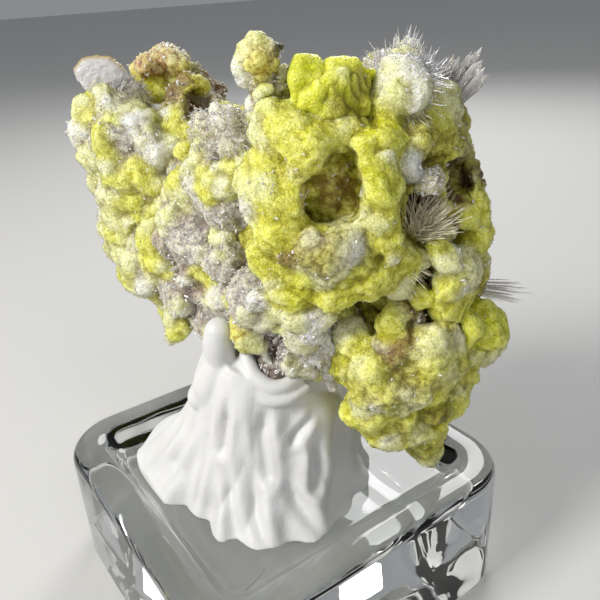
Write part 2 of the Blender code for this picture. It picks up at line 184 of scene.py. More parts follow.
def prisms(roots, ways, lengths, radii, sides, shoulder, flat, rng):
    # pointed crystals: a ring at the root, a ring at the shoulder (a share of the length) and a tip
    rootShare = 0.85  # how wide the root is beside the shoulder
    u, v = squareTo(ways)
    spin = rng.uniform(0, 2 * pi, (len(roots), 1))
    u, v = u * np.cos(spin) + v * np.sin(spin), v * np.cos(spin) - u * np.sin(spin)
    angle = 2 * pi * np.arange(sides) / sides
    ring = np.cos(angle)[None, :, None] * u[:, None] + flat * np.sin(angle)[None, :, None] * v[:, None]
    ring = ring * radii[:, None, None]
    stem = (ways * lengths[:, None])[:, None]
    lower = roots[:, None] + rootShare * ring
    upper = lower + shoulder * stem + (1 - rootShare) * ring
    points = np.concatenate([lower, upper, roots[:, None] + stem, roots[:, None]], axis=1)
    i = np.arange(sides)
    k = (i + 1) % sides
    top, root = np.full(sides, 2 * sides), np.full(sides, 2 * sides + 1)
    shape = np.concatenate([
        np.stack([i, k, k + sides], -1), np.stack([i, k + sides, i + sides], -1),
        np.stack([i + sides, k + sides, top], -1), np.stack([k, i, root], -1),
    ])
    return points.reshape(-1, 3), repeated(shape, 2 * sides + 2, len(roots))


def spikes(roots, ways, lengths, radii, rng):
    # hair-thin crystals: a triangle at the root and a tip
    u, v = squareTo(ways)
    angle = rng.uniform(0, 2 * pi, (len(roots), 1)) + 2 * pi * np.arange(3) / 3
    ring = np.cos(angle)[..., None] * u[:, None] + np.sin(angle)[..., None] * v[:, None]
    tips = (roots + ways * lengths[:, None])[:, None]
    points = np.concatenate([roots[:, None] + ring * radii[:, None, None], tips], 1)
    shape = np.array([[0, 1, 3], [1, 2, 3], [2, 0, 3], [2, 1, 0]])
    return points.reshape(-1, 3), repeated(shape, 4, len(roots))


# Materials

def linear(hexColour):
    # sRGB hex to linear values
    channels = np.array([int(hexColour[n:n + 2], 16) for n in (1, 3, 5)]) / 255
    return np.where(channels <= 0.04045, channels / 12.92, ((channels + 0.055) / 1.055) ** 2.4)


def colour(hexColour):
    # the linear colour with full opacity, as sockets take it
    return (*linear(hexColour), 1.0)


def every(sizeMm):
    # the scale that puts one cell of a pattern in this many millimetres
    return 1 / (sizeMm * mm)


def addNode(tree, kind, settings=None, links=None):
    # adds a node, sets its properties or sockets by name or number, and links sockets to other nodes' outputs
    node = tree.nodes.new(kind)
    for key, value in (settings or {}).items():
        if isinstance(key, str) and hasattr(node, key):
            setattr(node, key, value)
        else:
            node.inputs[key].default_value = value
    for key, source in (links or {}).items():
        tree.links.new(source, node.inputs[key])
    return node


def newMaterial(name):
    # an empty material and its node tree
    made = bpy.data.materials.new(name)
    made.use_nodes = True
    made.node_tree.nodes.clear()
    return made, made.node_tree


def creediteCrust():
    # Creedite grown as a sugary crust of tiny crystals: milky, light soaks in a little, with a velvet-like
    # pale rim. Sugar grains are 0.22 mm apart, and its mottling 0.14 mm, as fine as shows
    made, tree = newMaterial("creedite sugar crust")
    # the tint attribute holds the crust colour with its painted hollow shade and painted tip highlights
    tint = addNode(tree, "ShaderNodeAttribute", {"attribute_name": "tint"})
    here = {"Vector": addNode(tree, "ShaderNodeTexCoord").outputs["Object"]}
    sugar = addNode(tree, "ShaderNodeTexVoronoi", {"Scale": every(1 / 4.6)}, here)
    fine = addNode(tree, "ShaderNodeTexNoise", {"Scale": every(1 / 7), "Detail": 2.0}, here)
    strength = addNode(tree, "ShaderNodeMapRange",
                       {"From Min": 0.3, "From Max": 0.7, "To Min": 0.78, "To Max": 1.2},
                       {"Value": fine.outputs["Fac"]})
    mottled = addNode(tree, "ShaderNodeVectorMath", {"operation": "SCALE"},
                      {0: tint.outputs["Color"], "Scale": strength.outputs["Result"]})
    lift = addNode(tree, "ShaderNodeMath", {"operation": "SUBTRACT"},
                   {0: fine.outputs["Fac"], 1: sugar.outputs["Distance"]})
    bump = addNode(tree, "ShaderNodeBump", {"Strength": 0.8, "Distance": 0.1 * mm},
                   {"Height": lift.outputs[0]})
    shader = addNode(tree, "ShaderNodeBsdfPrincipled", {
        "Roughness": 0.33, "IOR": 1.47, "Subsurface Weight": 0.7, "Subsurface Scale": 1.1 * mm,
        "Subsurface Radius": (1.0, 0.95, 0.4), "Sheen Weight": 0.1, "Sheen Roughness": 0.4,
        "Sheen Tint": colour("#FFFFE8"),
    }, {"Base Color": mottled.outputs["Vector"], "Normal": bump.outputs["Normal"]})
    addNode(tree, "ShaderNodeOutputMaterial", None, {"Surface": shader.outputs[0]})
    return made


def creediteVelvet():
    # Hair-fine creedite needles: the colour of the crust at the root and paler at the tip. Light passes from
    # needle to needle, so they are lit as softly as the ground they stand on
    made, tree = newMaterial("creedite needle velvet")
    # the tint attribute carries the crust colour at the root, its painted shade and highlight included
    tint = addNode(tree, "ShaderNodeAttribute", {"attribute_name": "tint"})
    ground = addNode(tree, "ShaderNodeAttribute", {"attribute_name": "ground"})
    shader = addNode(tree, "ShaderNodeBsdfPrincipled", {"Roughness": 0.5, "IOR": 1.47},
                     {"Base Color": tint.outputs["Color"], "Normal": ground.outputs["Vector"]})
    addNode(tree, "ShaderNodeOutputMaterial", None, {"Surface": shader.outputs[0]})
    return made


def glassyCreedite(name, tintHex, roughness, clarity):
    # Creedite prisms with grown, glassy faces: faint cloud inside, 0.67 mm across, and uneven gloss
    made, tree = newMaterial(name)
    here = {"Vector": addNode(tree, "ShaderNodeTexCoord").outputs["Object"]}
    cloud = addNode(tree, "ShaderNodeTexNoise", {"Scale": every(1 / 1.5), "Detail": 2.0}, here)
    blur = addNode(tree, "ShaderNodeMapRange", {"To Min": roughness, "To Max": roughness + 0.2},
                   {"Value": cloud.outputs["Fac"]})
    bump = addNode(tree, "ShaderNodeBump", {"Strength": 0.2, "Distance": 0.05 * mm},
                   {"Height": cloud.outputs["Fac"]})
    shader = addNode(tree, "ShaderNodeBsdfPrincipled", {
        "Base Color": colour(tintHex), "IOR": 1.47, "Transmission Weight": clarity,
    }, {"Roughness": blur.outputs["Result"], "Normal": bump.outputs["Normal"]})
    addNode(tree, "ShaderNodeOutputMaterial", None, {"Surface": shader.outputs[0]})
    return made


def frostedTablet():
    # A tabular creedite crystal with etched faces, frosted 0.38 mm across, its upper rim stained honey-gold
    made, tree = newMaterial("frosted creedite tablet")
    gilt = addNode(tree, "ShaderNodeAttribute", {"attribute_name": "gilt"})
    here = {"Vector": addNode(tree, "ShaderNodeTexCoord").outputs["Object"]}
    frost = addNode(tree, "ShaderNodeTexNoise", {"Scale": every(1 / 2.6), "Detail": 3.0}, here)
    shade = addNode(tree, "ShaderNodeMix", {"data_type": "RGBA", 6: colour("#F2F0F2"), 7: colour("#D9B871")},
                    {0: gilt.outputs["Fac"]})
    bump = addNode(tree, "ShaderNodeBump", {"Strength": 0.6, "Distance": 0.1 * mm},
                   {"Height": frost.outputs["Fac"]})
    shader = addNode(tree, "ShaderNodeBsdfPrincipled", {
        "Roughness": 0.22, "IOR": 1.47, "Transmission Weight": 0.45,
    }, {"Base Color": shade.outputs[2], "Normal": bump.outputs["Normal"]})
    addNode(tree, "ShaderNodeOutputMaterial", None, {"Surface": shader.outputs[0]})
    return made


def puttyWhite():
    # White mounting putty kneaded by hand: dull satin, with faint smears 2.4 mm across, drawn out upwards,
    # and the 0.29 mm ridges of finger marks
    made, tree = newMaterial("hand-kneaded white putty")
    here = {"Vector": addNode(tree, "ShaderNodeTexCoord").outputs["Object"]}
    smear = addNode(tree, "ShaderNodeMapping", {"Scale": (1.0, 1.0, 0.35)}, here)
    soft = addNode(tree, "ShaderNodeTexNoise", {"Scale": every(1 / 0.42), "Detail": 4.0},
                   {"Vector": smear.outputs["Vector"]})
    fine = addNode(tree, "ShaderNodeTexNoise", {"Scale": every(1 / 3.5), "Detail": 2.0}, here)
    shade = addNode(tree, "ShaderNodeMix", {"data_type": "RGBA", 6: colour("#D3D2D0"), 7: colour("#E4E4E4")},
                    {0: soft.outputs["Fac"]})
    gloss = addNode(tree, "ShaderNodeMapRange", {"To Min": 0.38, "To Max": 0.58},
                    {"Value": fine.outputs["Fac"]})
    lift = addNode(tree, "ShaderNodeMath", {"operation": "MULTIPLY_ADD", 1: 0.2},
                   {0: fine.outputs["Fac"], 2: soft.outputs["Fac"]})
    bump = addNode(tree, "ShaderNodeBump", {"Strength": 0.5, "Distance": 0.3 * mm},
                   {"Height": lift.outputs[0]})
    shader = addNode(tree, "ShaderNodeBsdfPrincipled", {
        "IOR": 1.48, "Subsurface Weight": 0.15, "Subsurface Scale": 0.5 * mm,
        "Subsurface Radius": (1.0, 0.8, 0.6),
    }, {
        "Base Color": shade.outputs[2], "Roughness": gloss.outputs["Result"],
        "Normal": bump.outputs["Normal"],
    })
    addNode(tree, "ShaderNodeOutputMaterial", None, {"Surface": shader.outputs[0]})
    return made


def blockGlass():
    # Clear pressed glass with fire-polished edges: slow waves, 6.25 mm long, bend what is behind
    made, tree = newMaterial("pressed clear glass")
    here = {"Vector": addNode(tree, "ShaderNodeTexCoord").outputs["Object"]}
    wave = addNode(tree, "ShaderNodeTexNoise", {"Scale": every(6.25), "Detail": 1.0}, here)
    bump = addNode(tree, "ShaderNodeBump", {"Strength": 0.25, "Distance": 0.4 * mm},
                   {"Height": wave.outputs["Fac"]})
    shader = addNode(tree, "ShaderNodeBsdfPrincipled", {
        "Base Color": colour("#FBFDFC"), "Roughness": 0.01, "IOR": 1.5, "Transmission Weight": 1.0,
    }, {"Normal": bump.outputs["Normal"]})
    addNode(tree, "ShaderNodeOutputMaterial", None, {"Surface": shader.outputs[0]})
    return made


# The glass block

block = {
    "side": 32.0, "height": 12.5, "corner": 5.5, "rim": 2.8, "dishDepth": 1.8, "dishSlope": 1.7,
    "roundings": (0.6, 1.3, 0.95, 0.9),  # under edge, top edge, lip of the dish and foot of its slope
    "roundingSteps": 9, "arcSteps": 14, "edgeSteps": 18, "underInset": 4.0,
}
dishFloor = block["height"] - block["dishDepth"]


def fillet(profile, radii, steps):
    # rounds each inner corner of a flat line by a curve that leaves and joins it one radius away
    t = np.linspace(0, 1, steps)[:, None]
    line = [profile[:1]]
    for before, corner, after, radius in zip(profile[:-2], profile[1:-1], profile[2:], radii):
        a = corner + radius * unit(before - corner)
        b = corner + radius * unit(after - corner)
        line.append((1 - t) ** 2 * a + 2 * t * (1 - t) * corner + t**2 * b)
    return np.concatenate(line + [profile[-1:]])


def blockOutline():
    # the rounded square as a start point and an outward way for each step round it: four arcs and four edges
    half = block["side"] / 2 - block["corner"]
    centres, ways = [], []
    for quarter in range(4):
        arc = quarter * pi / 2 + np.linspace(0, pi / 2, block["arcSteps"] + 1)
        way = np.column_stack([np.cos(arc), np.sin(arc)])
        centre, following = (
            half * np.sqrt(2) * np.array([cos(turn), sin(turn)])
            for turn in (quarter * pi / 2 + pi / 4, quarter * pi / 2 + 3 * pi / 4)
        )
        t = np.linspace(0, 1, block["edgeSteps"] + 1)[1:-1, None]
        centres += [np.tile(centre, (len(arc), 1)), centre + t * (following - centre)]
        ways += [way, np.tile(way[-1], (len(t), 1))]
    return np.concatenate(centres), np.concatenate(ways)


def blockShape():
    # a profile of (inset from the side, height) carried round the outline, and closed at both middles
    b = block
    profile = np.array([
        (b["underInset"], 0.0), (0.0, 0.0), (0.0, b["height"]), (b["rim"], b["height"]),
        (b["rim"] + b["dishSlope"], dishFloor), (b["corner"] - 0.02, dishFloor),
    ])
    line = fillet(profile, b["roundings"], b["roundingSteps"])
    centres, ways = blockOutline()
    rings = [(centres * share, 0.0) for share in (0.02, 0.5)]
    rings += [(centres + ways * (b["corner"] - inset), height) for inset, height in line]
    rings += [(centres * share, dishFloor) for share in (0.6, 0.02)]
    rings = [np.column_stack([flat, np.full(len(flat), height)]) for flat, height in rings]
    return closedRings(rings, [0.0, 0.0, 0.0], [0.0, 0.0, dishFloor])


def buildBlock(material):
    # the block stands square to the frame's axes, so its shape is turned back from the display side
    points, faces = blockShape()
    c, s = cos(displayTurn), sin(displayTurn)
    points = points @ np.array([[c, -s, 0.0], [s, c, 0.0], [0.0, 0.0, 1.0]])
    piece = putMesh("clear_block", points, faces, material)
    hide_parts("glass_block")
    print("glass block made")


# The putty

putty = {
    "foot": 10.4, "footCentre": (-2.0, -0.6), "top": 6.2, "topCentre": (0.4, -1.4), "height": 12.6,
    "fall": 0.42, "folds": 17, "foldDepth": 0.08, "footWave": 0.35, "flare": (1.9, 0.9),
    "shoulderStart": 0.75, "shoulderIn": 0.16,
    "lobes": [(160, 2.9, 0.5), (226, -2.4, 0.45), (304, 1.0, 0.3)],  # degrees round, amount, width
    "smears": [(2.6, 0.22, 91), (1.0, 0.09, 92)],  # size, depth, seed
    "flutes": (0.75, 0.26, 2.1),  # depth, how much they are drawn out upwards, size
    "creaseRadius": 7.5, "dishHalf": 11.3, "squareness": 5, "columns": 420, "rows": 190, "voxel": 0.142,
}
pressed = [  # strokes of putty pressed on: points with radii along each
    [(-5.7, -3.4, 20.8, 1.29), (-5.1, -3.7, 22.2, 1.18), (-4.4, -4.0, 23.3, 1.17), (-3.5, -4.4, 24.1, 1.07)],
    [(-2.7, -4.6, 23.8, 0.90), (-2.0, -5.0, 22.8, 0.82), (-1.5, -5.2, 21.6, 0.75)],
    [(-2.2, -4.8, 24.6, 0.65), (-1.5, -5.0, 24.0, 0.73), (-0.4, -5.6, 23.1, 0.65)],
    [(-3.6, -4.4, 25.2, 1.25), (-3.7, -4.6, 26.5, 1.3), (-3.5, -4.7, 27.7, 1.15)],
    [(-4.6, -3.6, 20.6, 1.6), (-4.4, -4.0, 22.6, 1.9), (-3.9, -4.2, 24.0, 1.5)],
    [(-1.5, -4.9, 25.4, 0.6), (-1.0, -5.9, 24.1, 0.65), (0.4, -6.5, 23.2, 0.65), (1.7, -6.2, 23.2, 0.65),
     (2.9, -5.0, 23.6, 0.6)],
    [(-1.3, -6.2, 23.2, 0.5), (0.2, -6.9, 22.2, 0.55), (1.9, -6.7, 22.2, 0.5), (3.2, -5.7, 22.6, 0.4)],
]
creases = [  # depth and width in mm, then its path: degrees round the mound, share of the climb
    (0.65, 0.55, [(267, 0.85), (268, 0.7), (275, 0.42)]), (0.60, 0.36, [(307, 0.88), (289, 0.66)]),
    (0.95, 0.50, [(307, 0.7), (303, 0.34)]), (1.30, 1.10, [(328, 0.8), (328, 0.45), (318, 0.1)]),
    (0.80, 0.45, [(287, 0.4), (293, 0.24), (302, 0.0)]), (0.80, 0.45, [(248, 0.4), (261, 0.0)]),
    (0.80, 0.42, [(265, 0.46), (271, 0.16), (277, 0.0)]), (0.60, 0.42, [(225, 0.5), (230, 0.0)]),
    (0.60, 0.45, [(240, 0.86), (241, 0.5)]), (0.40, 0.90, [(176, 0.13), (198, 0.15), (208, 0.2)]),
    (0.40, 0.50, [(211, 0.62), (198, 0.22)]), (0.50, 0.60, [(346, 0.9), (342, 0.2)]),
    (0.80, 0.70, [(8, 0.9), (2, 0.5), (8, 0.1)]), (0.70, 0.60, [(30, 0.86), (36, 0.5), (28, 0.15)]),
    (0.90, 0.80, [(52, 0.92), (56, 0.6), (50, 0.3)]), (0.60, 0.50, [(72, 0.5), (68, 0.2), (74, 0.04)]),
    (0.85, 0.70, [(90, 0.9), (84, 0.6), (92, 0.3)]), (0.60, 0.50, [(104, 0.45), (110, 0.2), (106, 0.05)]),
    (0.90, 0.80, [(126, 0.92), (122, 0.55), (130, 0.2)]), (0.60, 0.60, [(148, 0.8), (154, 0.5), (148, 0.25)]),
]


def swelling(turn, degrees, amount, width):
    # a bell-shaped change of radius round one angle
    off = (turn - radians(degrees) + pi) % (2 * pi) - pi
    return amount * np.exp(-((off / width) ** 2))


def creased(turn, climb):
    # the sum of the creases: each fades in along a bent line on the unrolled wall, and is a bell across its
    # distance from that line, with the putty it displaced beside it
    radius, height = putty["creaseRadius"], putty["height"]
    total = np.zeros(np.broadcast(turn, climb).shape)
    upwards = climb * height
    for depth, width, path in creases:
        path = np.array([(radians(degrees) * radius, share * height) for degrees, share in path])
        nearest, along = np.full(total.shape, np.inf), np.zeros(total.shape)
        across = (turn * radius - path[0, 0] + radius * pi) % (2 * radius * pi) - radius * pi + path[0, 0]
        for step, (start, end) in enumerate(zip(path[:-1], path[1:])):
            way = end - start
            share = ((across - start[0]) * way[0] + (upwards - start[1]) * way[1]) / (way**2).sum()
            share = np.clip(share, 0, 1)
            gap = np.hypot(across - start[0] - share * way[0], upwards - start[1] - share * way[1])
            along = np.where(gap < nearest, (step + share) / (len(path) - 1), along)
            nearest = np.minimum(nearest, gap)
        fadeIn = np.clip(0.1 + 2.2 * along, 0, 1)
        displaced = 0.18 * np.exp(-(((nearest - 2 * width) / width) ** 2))
        total += depth * fadeIn * (displaced - np.exp(-((nearest / width) ** 2)))
    return total


def keptInDish(points):
    # draws points in to a rounded square: |x|^n + |y|^n stays under the dish's half width ^n, along the
    # block's sides
    power = putty["squareness"]
    c, s = cos(displayTurn), sin(displayTurn)
    across = np.abs(points[..., 0] * c - points[..., 1] * s) ** power
    along = np.abs(points[..., 0] * s + points[..., 1] * c) ** power
    squareRadius = np.maximum((across + along) ** (1 / power), 0.3)
    points[..., :2] *= np.minimum(1, putty["dishHalf"] / squareRadius)[..., None]
    return points


def puttySkin(turn, rise):
    # a mound of folds: rise 0 to 1 runs from under its middle over the foot and the wall to the middle of its
    # top
    p = putty
    footEdge, topEdge = 0.2, 0.84
    climb = np.clip((rise - footEdge) / (topEdge - footEdge), 0, 1)
    under = np.clip(rise / footEdge, 0, 1)
    over = np.clip((1 - rise) / (1 - topEdge), 0, 1)
    fold = np.cos(p["folds"] * turn + 0.9 * np.sin(2 * turn)) + 0.5 * np.cos(5 * turn + 1.1)
    foot = p["foot"] + sum(swelling(turn, *lobe) for lobe in p["lobes"]) + p["footWave"] * fold
    top = p["top"] * (1 + 0.05 * np.cos(3 * turn + 0.4))
    height = p["height"] - p["fall"] * top * np.cos(turn)
    flare = p["flare"][0] - p["flare"][1] * np.cos(turn)
    rounding = np.maximum(0, climb - p["shoulderStart"]) / (1 - p["shoulderStart"])
    out = (top + (foot - top) * (1 - climb) ** flare) * (1 - p["shoulderIn"] * rounding**2)
    around = np.stack([np.cos(turn) * 8 + 0 * climb, np.sin(turn) * 8 + 0 * climb, climb * 9 + 0 * turn], -1)
    smear = layered(around.reshape(-1, 3), p["smears"]).reshape(out.shape)
    wall = np.sin(pi * np.clip(climb, 0.02, 0.98)) ** 0.5
    depth, upShare, across = p["flutes"]
    bent = turn + 0.12 * np.sin(5 * climb + 2 * turn)
    drawn = np.stack([np.cos(bent) * 8, np.sin(bent) * 8, climb * p["height"] * upShare], -1)
    flutes = depth * (np.abs(softNoise(drawn.reshape(-1, 3), across, 93)) ** 0.7 - 0.5).reshape(out.shape)
    out = out + wall * (p["foldDepth"] * fold + smear + (1 - 0.5 * climb) * flutes)
    out = out + np.minimum(1, 6 * climb + 0.3) * creased(turn, climb)
    out = out * under * over
    up = height * climb + p["fall"] * top * np.cos(turn) * (1 - over)
    shift = climb[..., None] * np.subtract(p["topCentre"], p["footCentre"]) + p["footCentre"]
    x, y = shift[..., 0] + out * np.cos(turn), shift[..., 1] + out * np.sin(turn)
    return keptInDish(np.stack([x, y, dishFloor + up + 0.02], -1))


def easedPath(along):
    # rounds the corners of a path: each point moves to the mean of itself and its neighbours, eight times
    for _ in range(8):
        along[1:-1] = (along[:-2] + along[1:-1] + along[2:]) / 3
    return along


def buildPutty(material):
    # the mound and the pieces pressed on beside the cluster, fused by a fine remesh and smoothed like soft
    # putty
    columns, rows = putty["columns"], putty["rows"]
    turn, rise = np.meshgrid(2 * pi * np.arange(columns) / columns, np.linspace(0.002, 0.998, rows))
    mound = puttySkin(turn, rise).reshape(-1, 3)
    faces = gridFaces(rows, columns).tolist()
    faces.append(list(range(columns - 1, -1, -1)))
    faces.append([(rows - 1) * columns + n for n in range(columns)])
    ways, quads = cubeSphere(10)
    pointSets, start = [mound], len(mound)
    for stroke in pressed:
        path = np.array(stroke)
        steps = np.linspace(0, len(path) - 1, 9 * (len(path) - 1) + 1)
        along = np.stack([np.interp(steps, np.arange(len(path)), path[:, n]) for n in range(4)], -1)
        for place in easedPath(along):
            pointSets.append(ways * place[3] + place[:3])
            faces += (quads + start).tolist()
            start += len(ways)
    piece = putMesh("putty_mound", np.concatenate(pointSets), faces, material)
    fused = piece.modifiers.new("fused", "REMESH")
    fused.mode = "VOXEL"
    fused.voxel_size = putty["voxel"] * mm
    fused.use_smooth_shade = True
    softened = piece.modifiers.new("softened", "SMOOTH")
    softened.factor = 0.5
    softened.iterations = 6
    evaluated = piece.evaluated_get(bpy.context.evaluated_depsgraph_get())
    finished = bpy.data.meshes.new_from_object(evaluated)
    piece.modifiers.clear()
    piece.data = finished
    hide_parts("putty")
    print("putty made:", len(finished.polygons), "faces")


# The cluster. A mass has a heart (where its back lumps are aimed from), core balls and lumps (x, y, z, radius
# and the lumps' kind), and pockets (middle, half sizes, kind). Its smalls are how many small lumps are sown,
# the smallest and the largest, and the share of each that stands out

kinds = {  # colour, then how far each habit shows: pinched folds, popcorn, standing crystals, needle velvet
    "lime": ("#E0DE4A", 0.0, 0.42, 0.0, 1.0),
    "lemon": ("#DCDD26", 0.1, 0.4, 0.0, 0.9),
    "fold": ("#DBE024", 0.9, 0.1, 0.0, 0.3),
    "foldShade": ("#9A9410", 0.9, 0.15, 0.0, 0.25),
    "cream": ("#ECEBAC", 0.0, 0.42, 0.0, 1.0),
    "white": ("#F1F0E4", 0.0, 0.35, 0.3, 1.0),
    "grey": ("#B7AFA8", 0.0, 0.35, 0.5, 0.2),
    # olive: partly the crust's own darker colour, partly painted shade on the collar's shaded right and its
    # core
    "olive": ("#B5AC30", 0.0, 0.6, 0.1, 0.8),
    # painted shade: a darker copy of olive, put where the collar's right, the pocket and the foot's right lie
    # in shade
    "shadedOlive": ("#8C821C", 0.0, 0.6, 0.1, 0.5),
    "mauve": ("#927E78", 0.0, 0.4, 0.5, 0.1),
    "brown": ("#7C5A2C", 0.0, 0.8, 0.4, 0.3),
    "umber": ("#6E4C1A", 0.0, 0.7, 0.05, 0.05),
    "straw": ("#C6C26E", 0.0, 0.5, 0.0, 1.0),
    "ice": ("#E6E4DE", 0.0, 0.35, 0.6, 0.2),
    # the deep hole at the right: its own dark brown lining and painted shade of the hole together
    "cave": ("#5A3A16", 0.0, 1.2, 0.05, 0.0),
    "pink": ("#B87466", 0.0, 0.6, 0.8, 0.2),
    "amber": ("#CDB43C", 0.0, 1.0, 0.1, 0.4),
    "stem": ("#B09C84", 0.0, 0.8, 0.9, 0.2),
    "dark": ("#251A16", 0.0, 0.8, 1.0, 0.0),
    "wool": ("#C9BEB2", 0.0, 0.5, 0.6, 0.2),
    "pit": ("#CAB068", 0.0, 0.5, 0.35, 0.0),
    "smoke": ("#7E6A66", 0.0, 0.3, 0.8, 0.0),
}
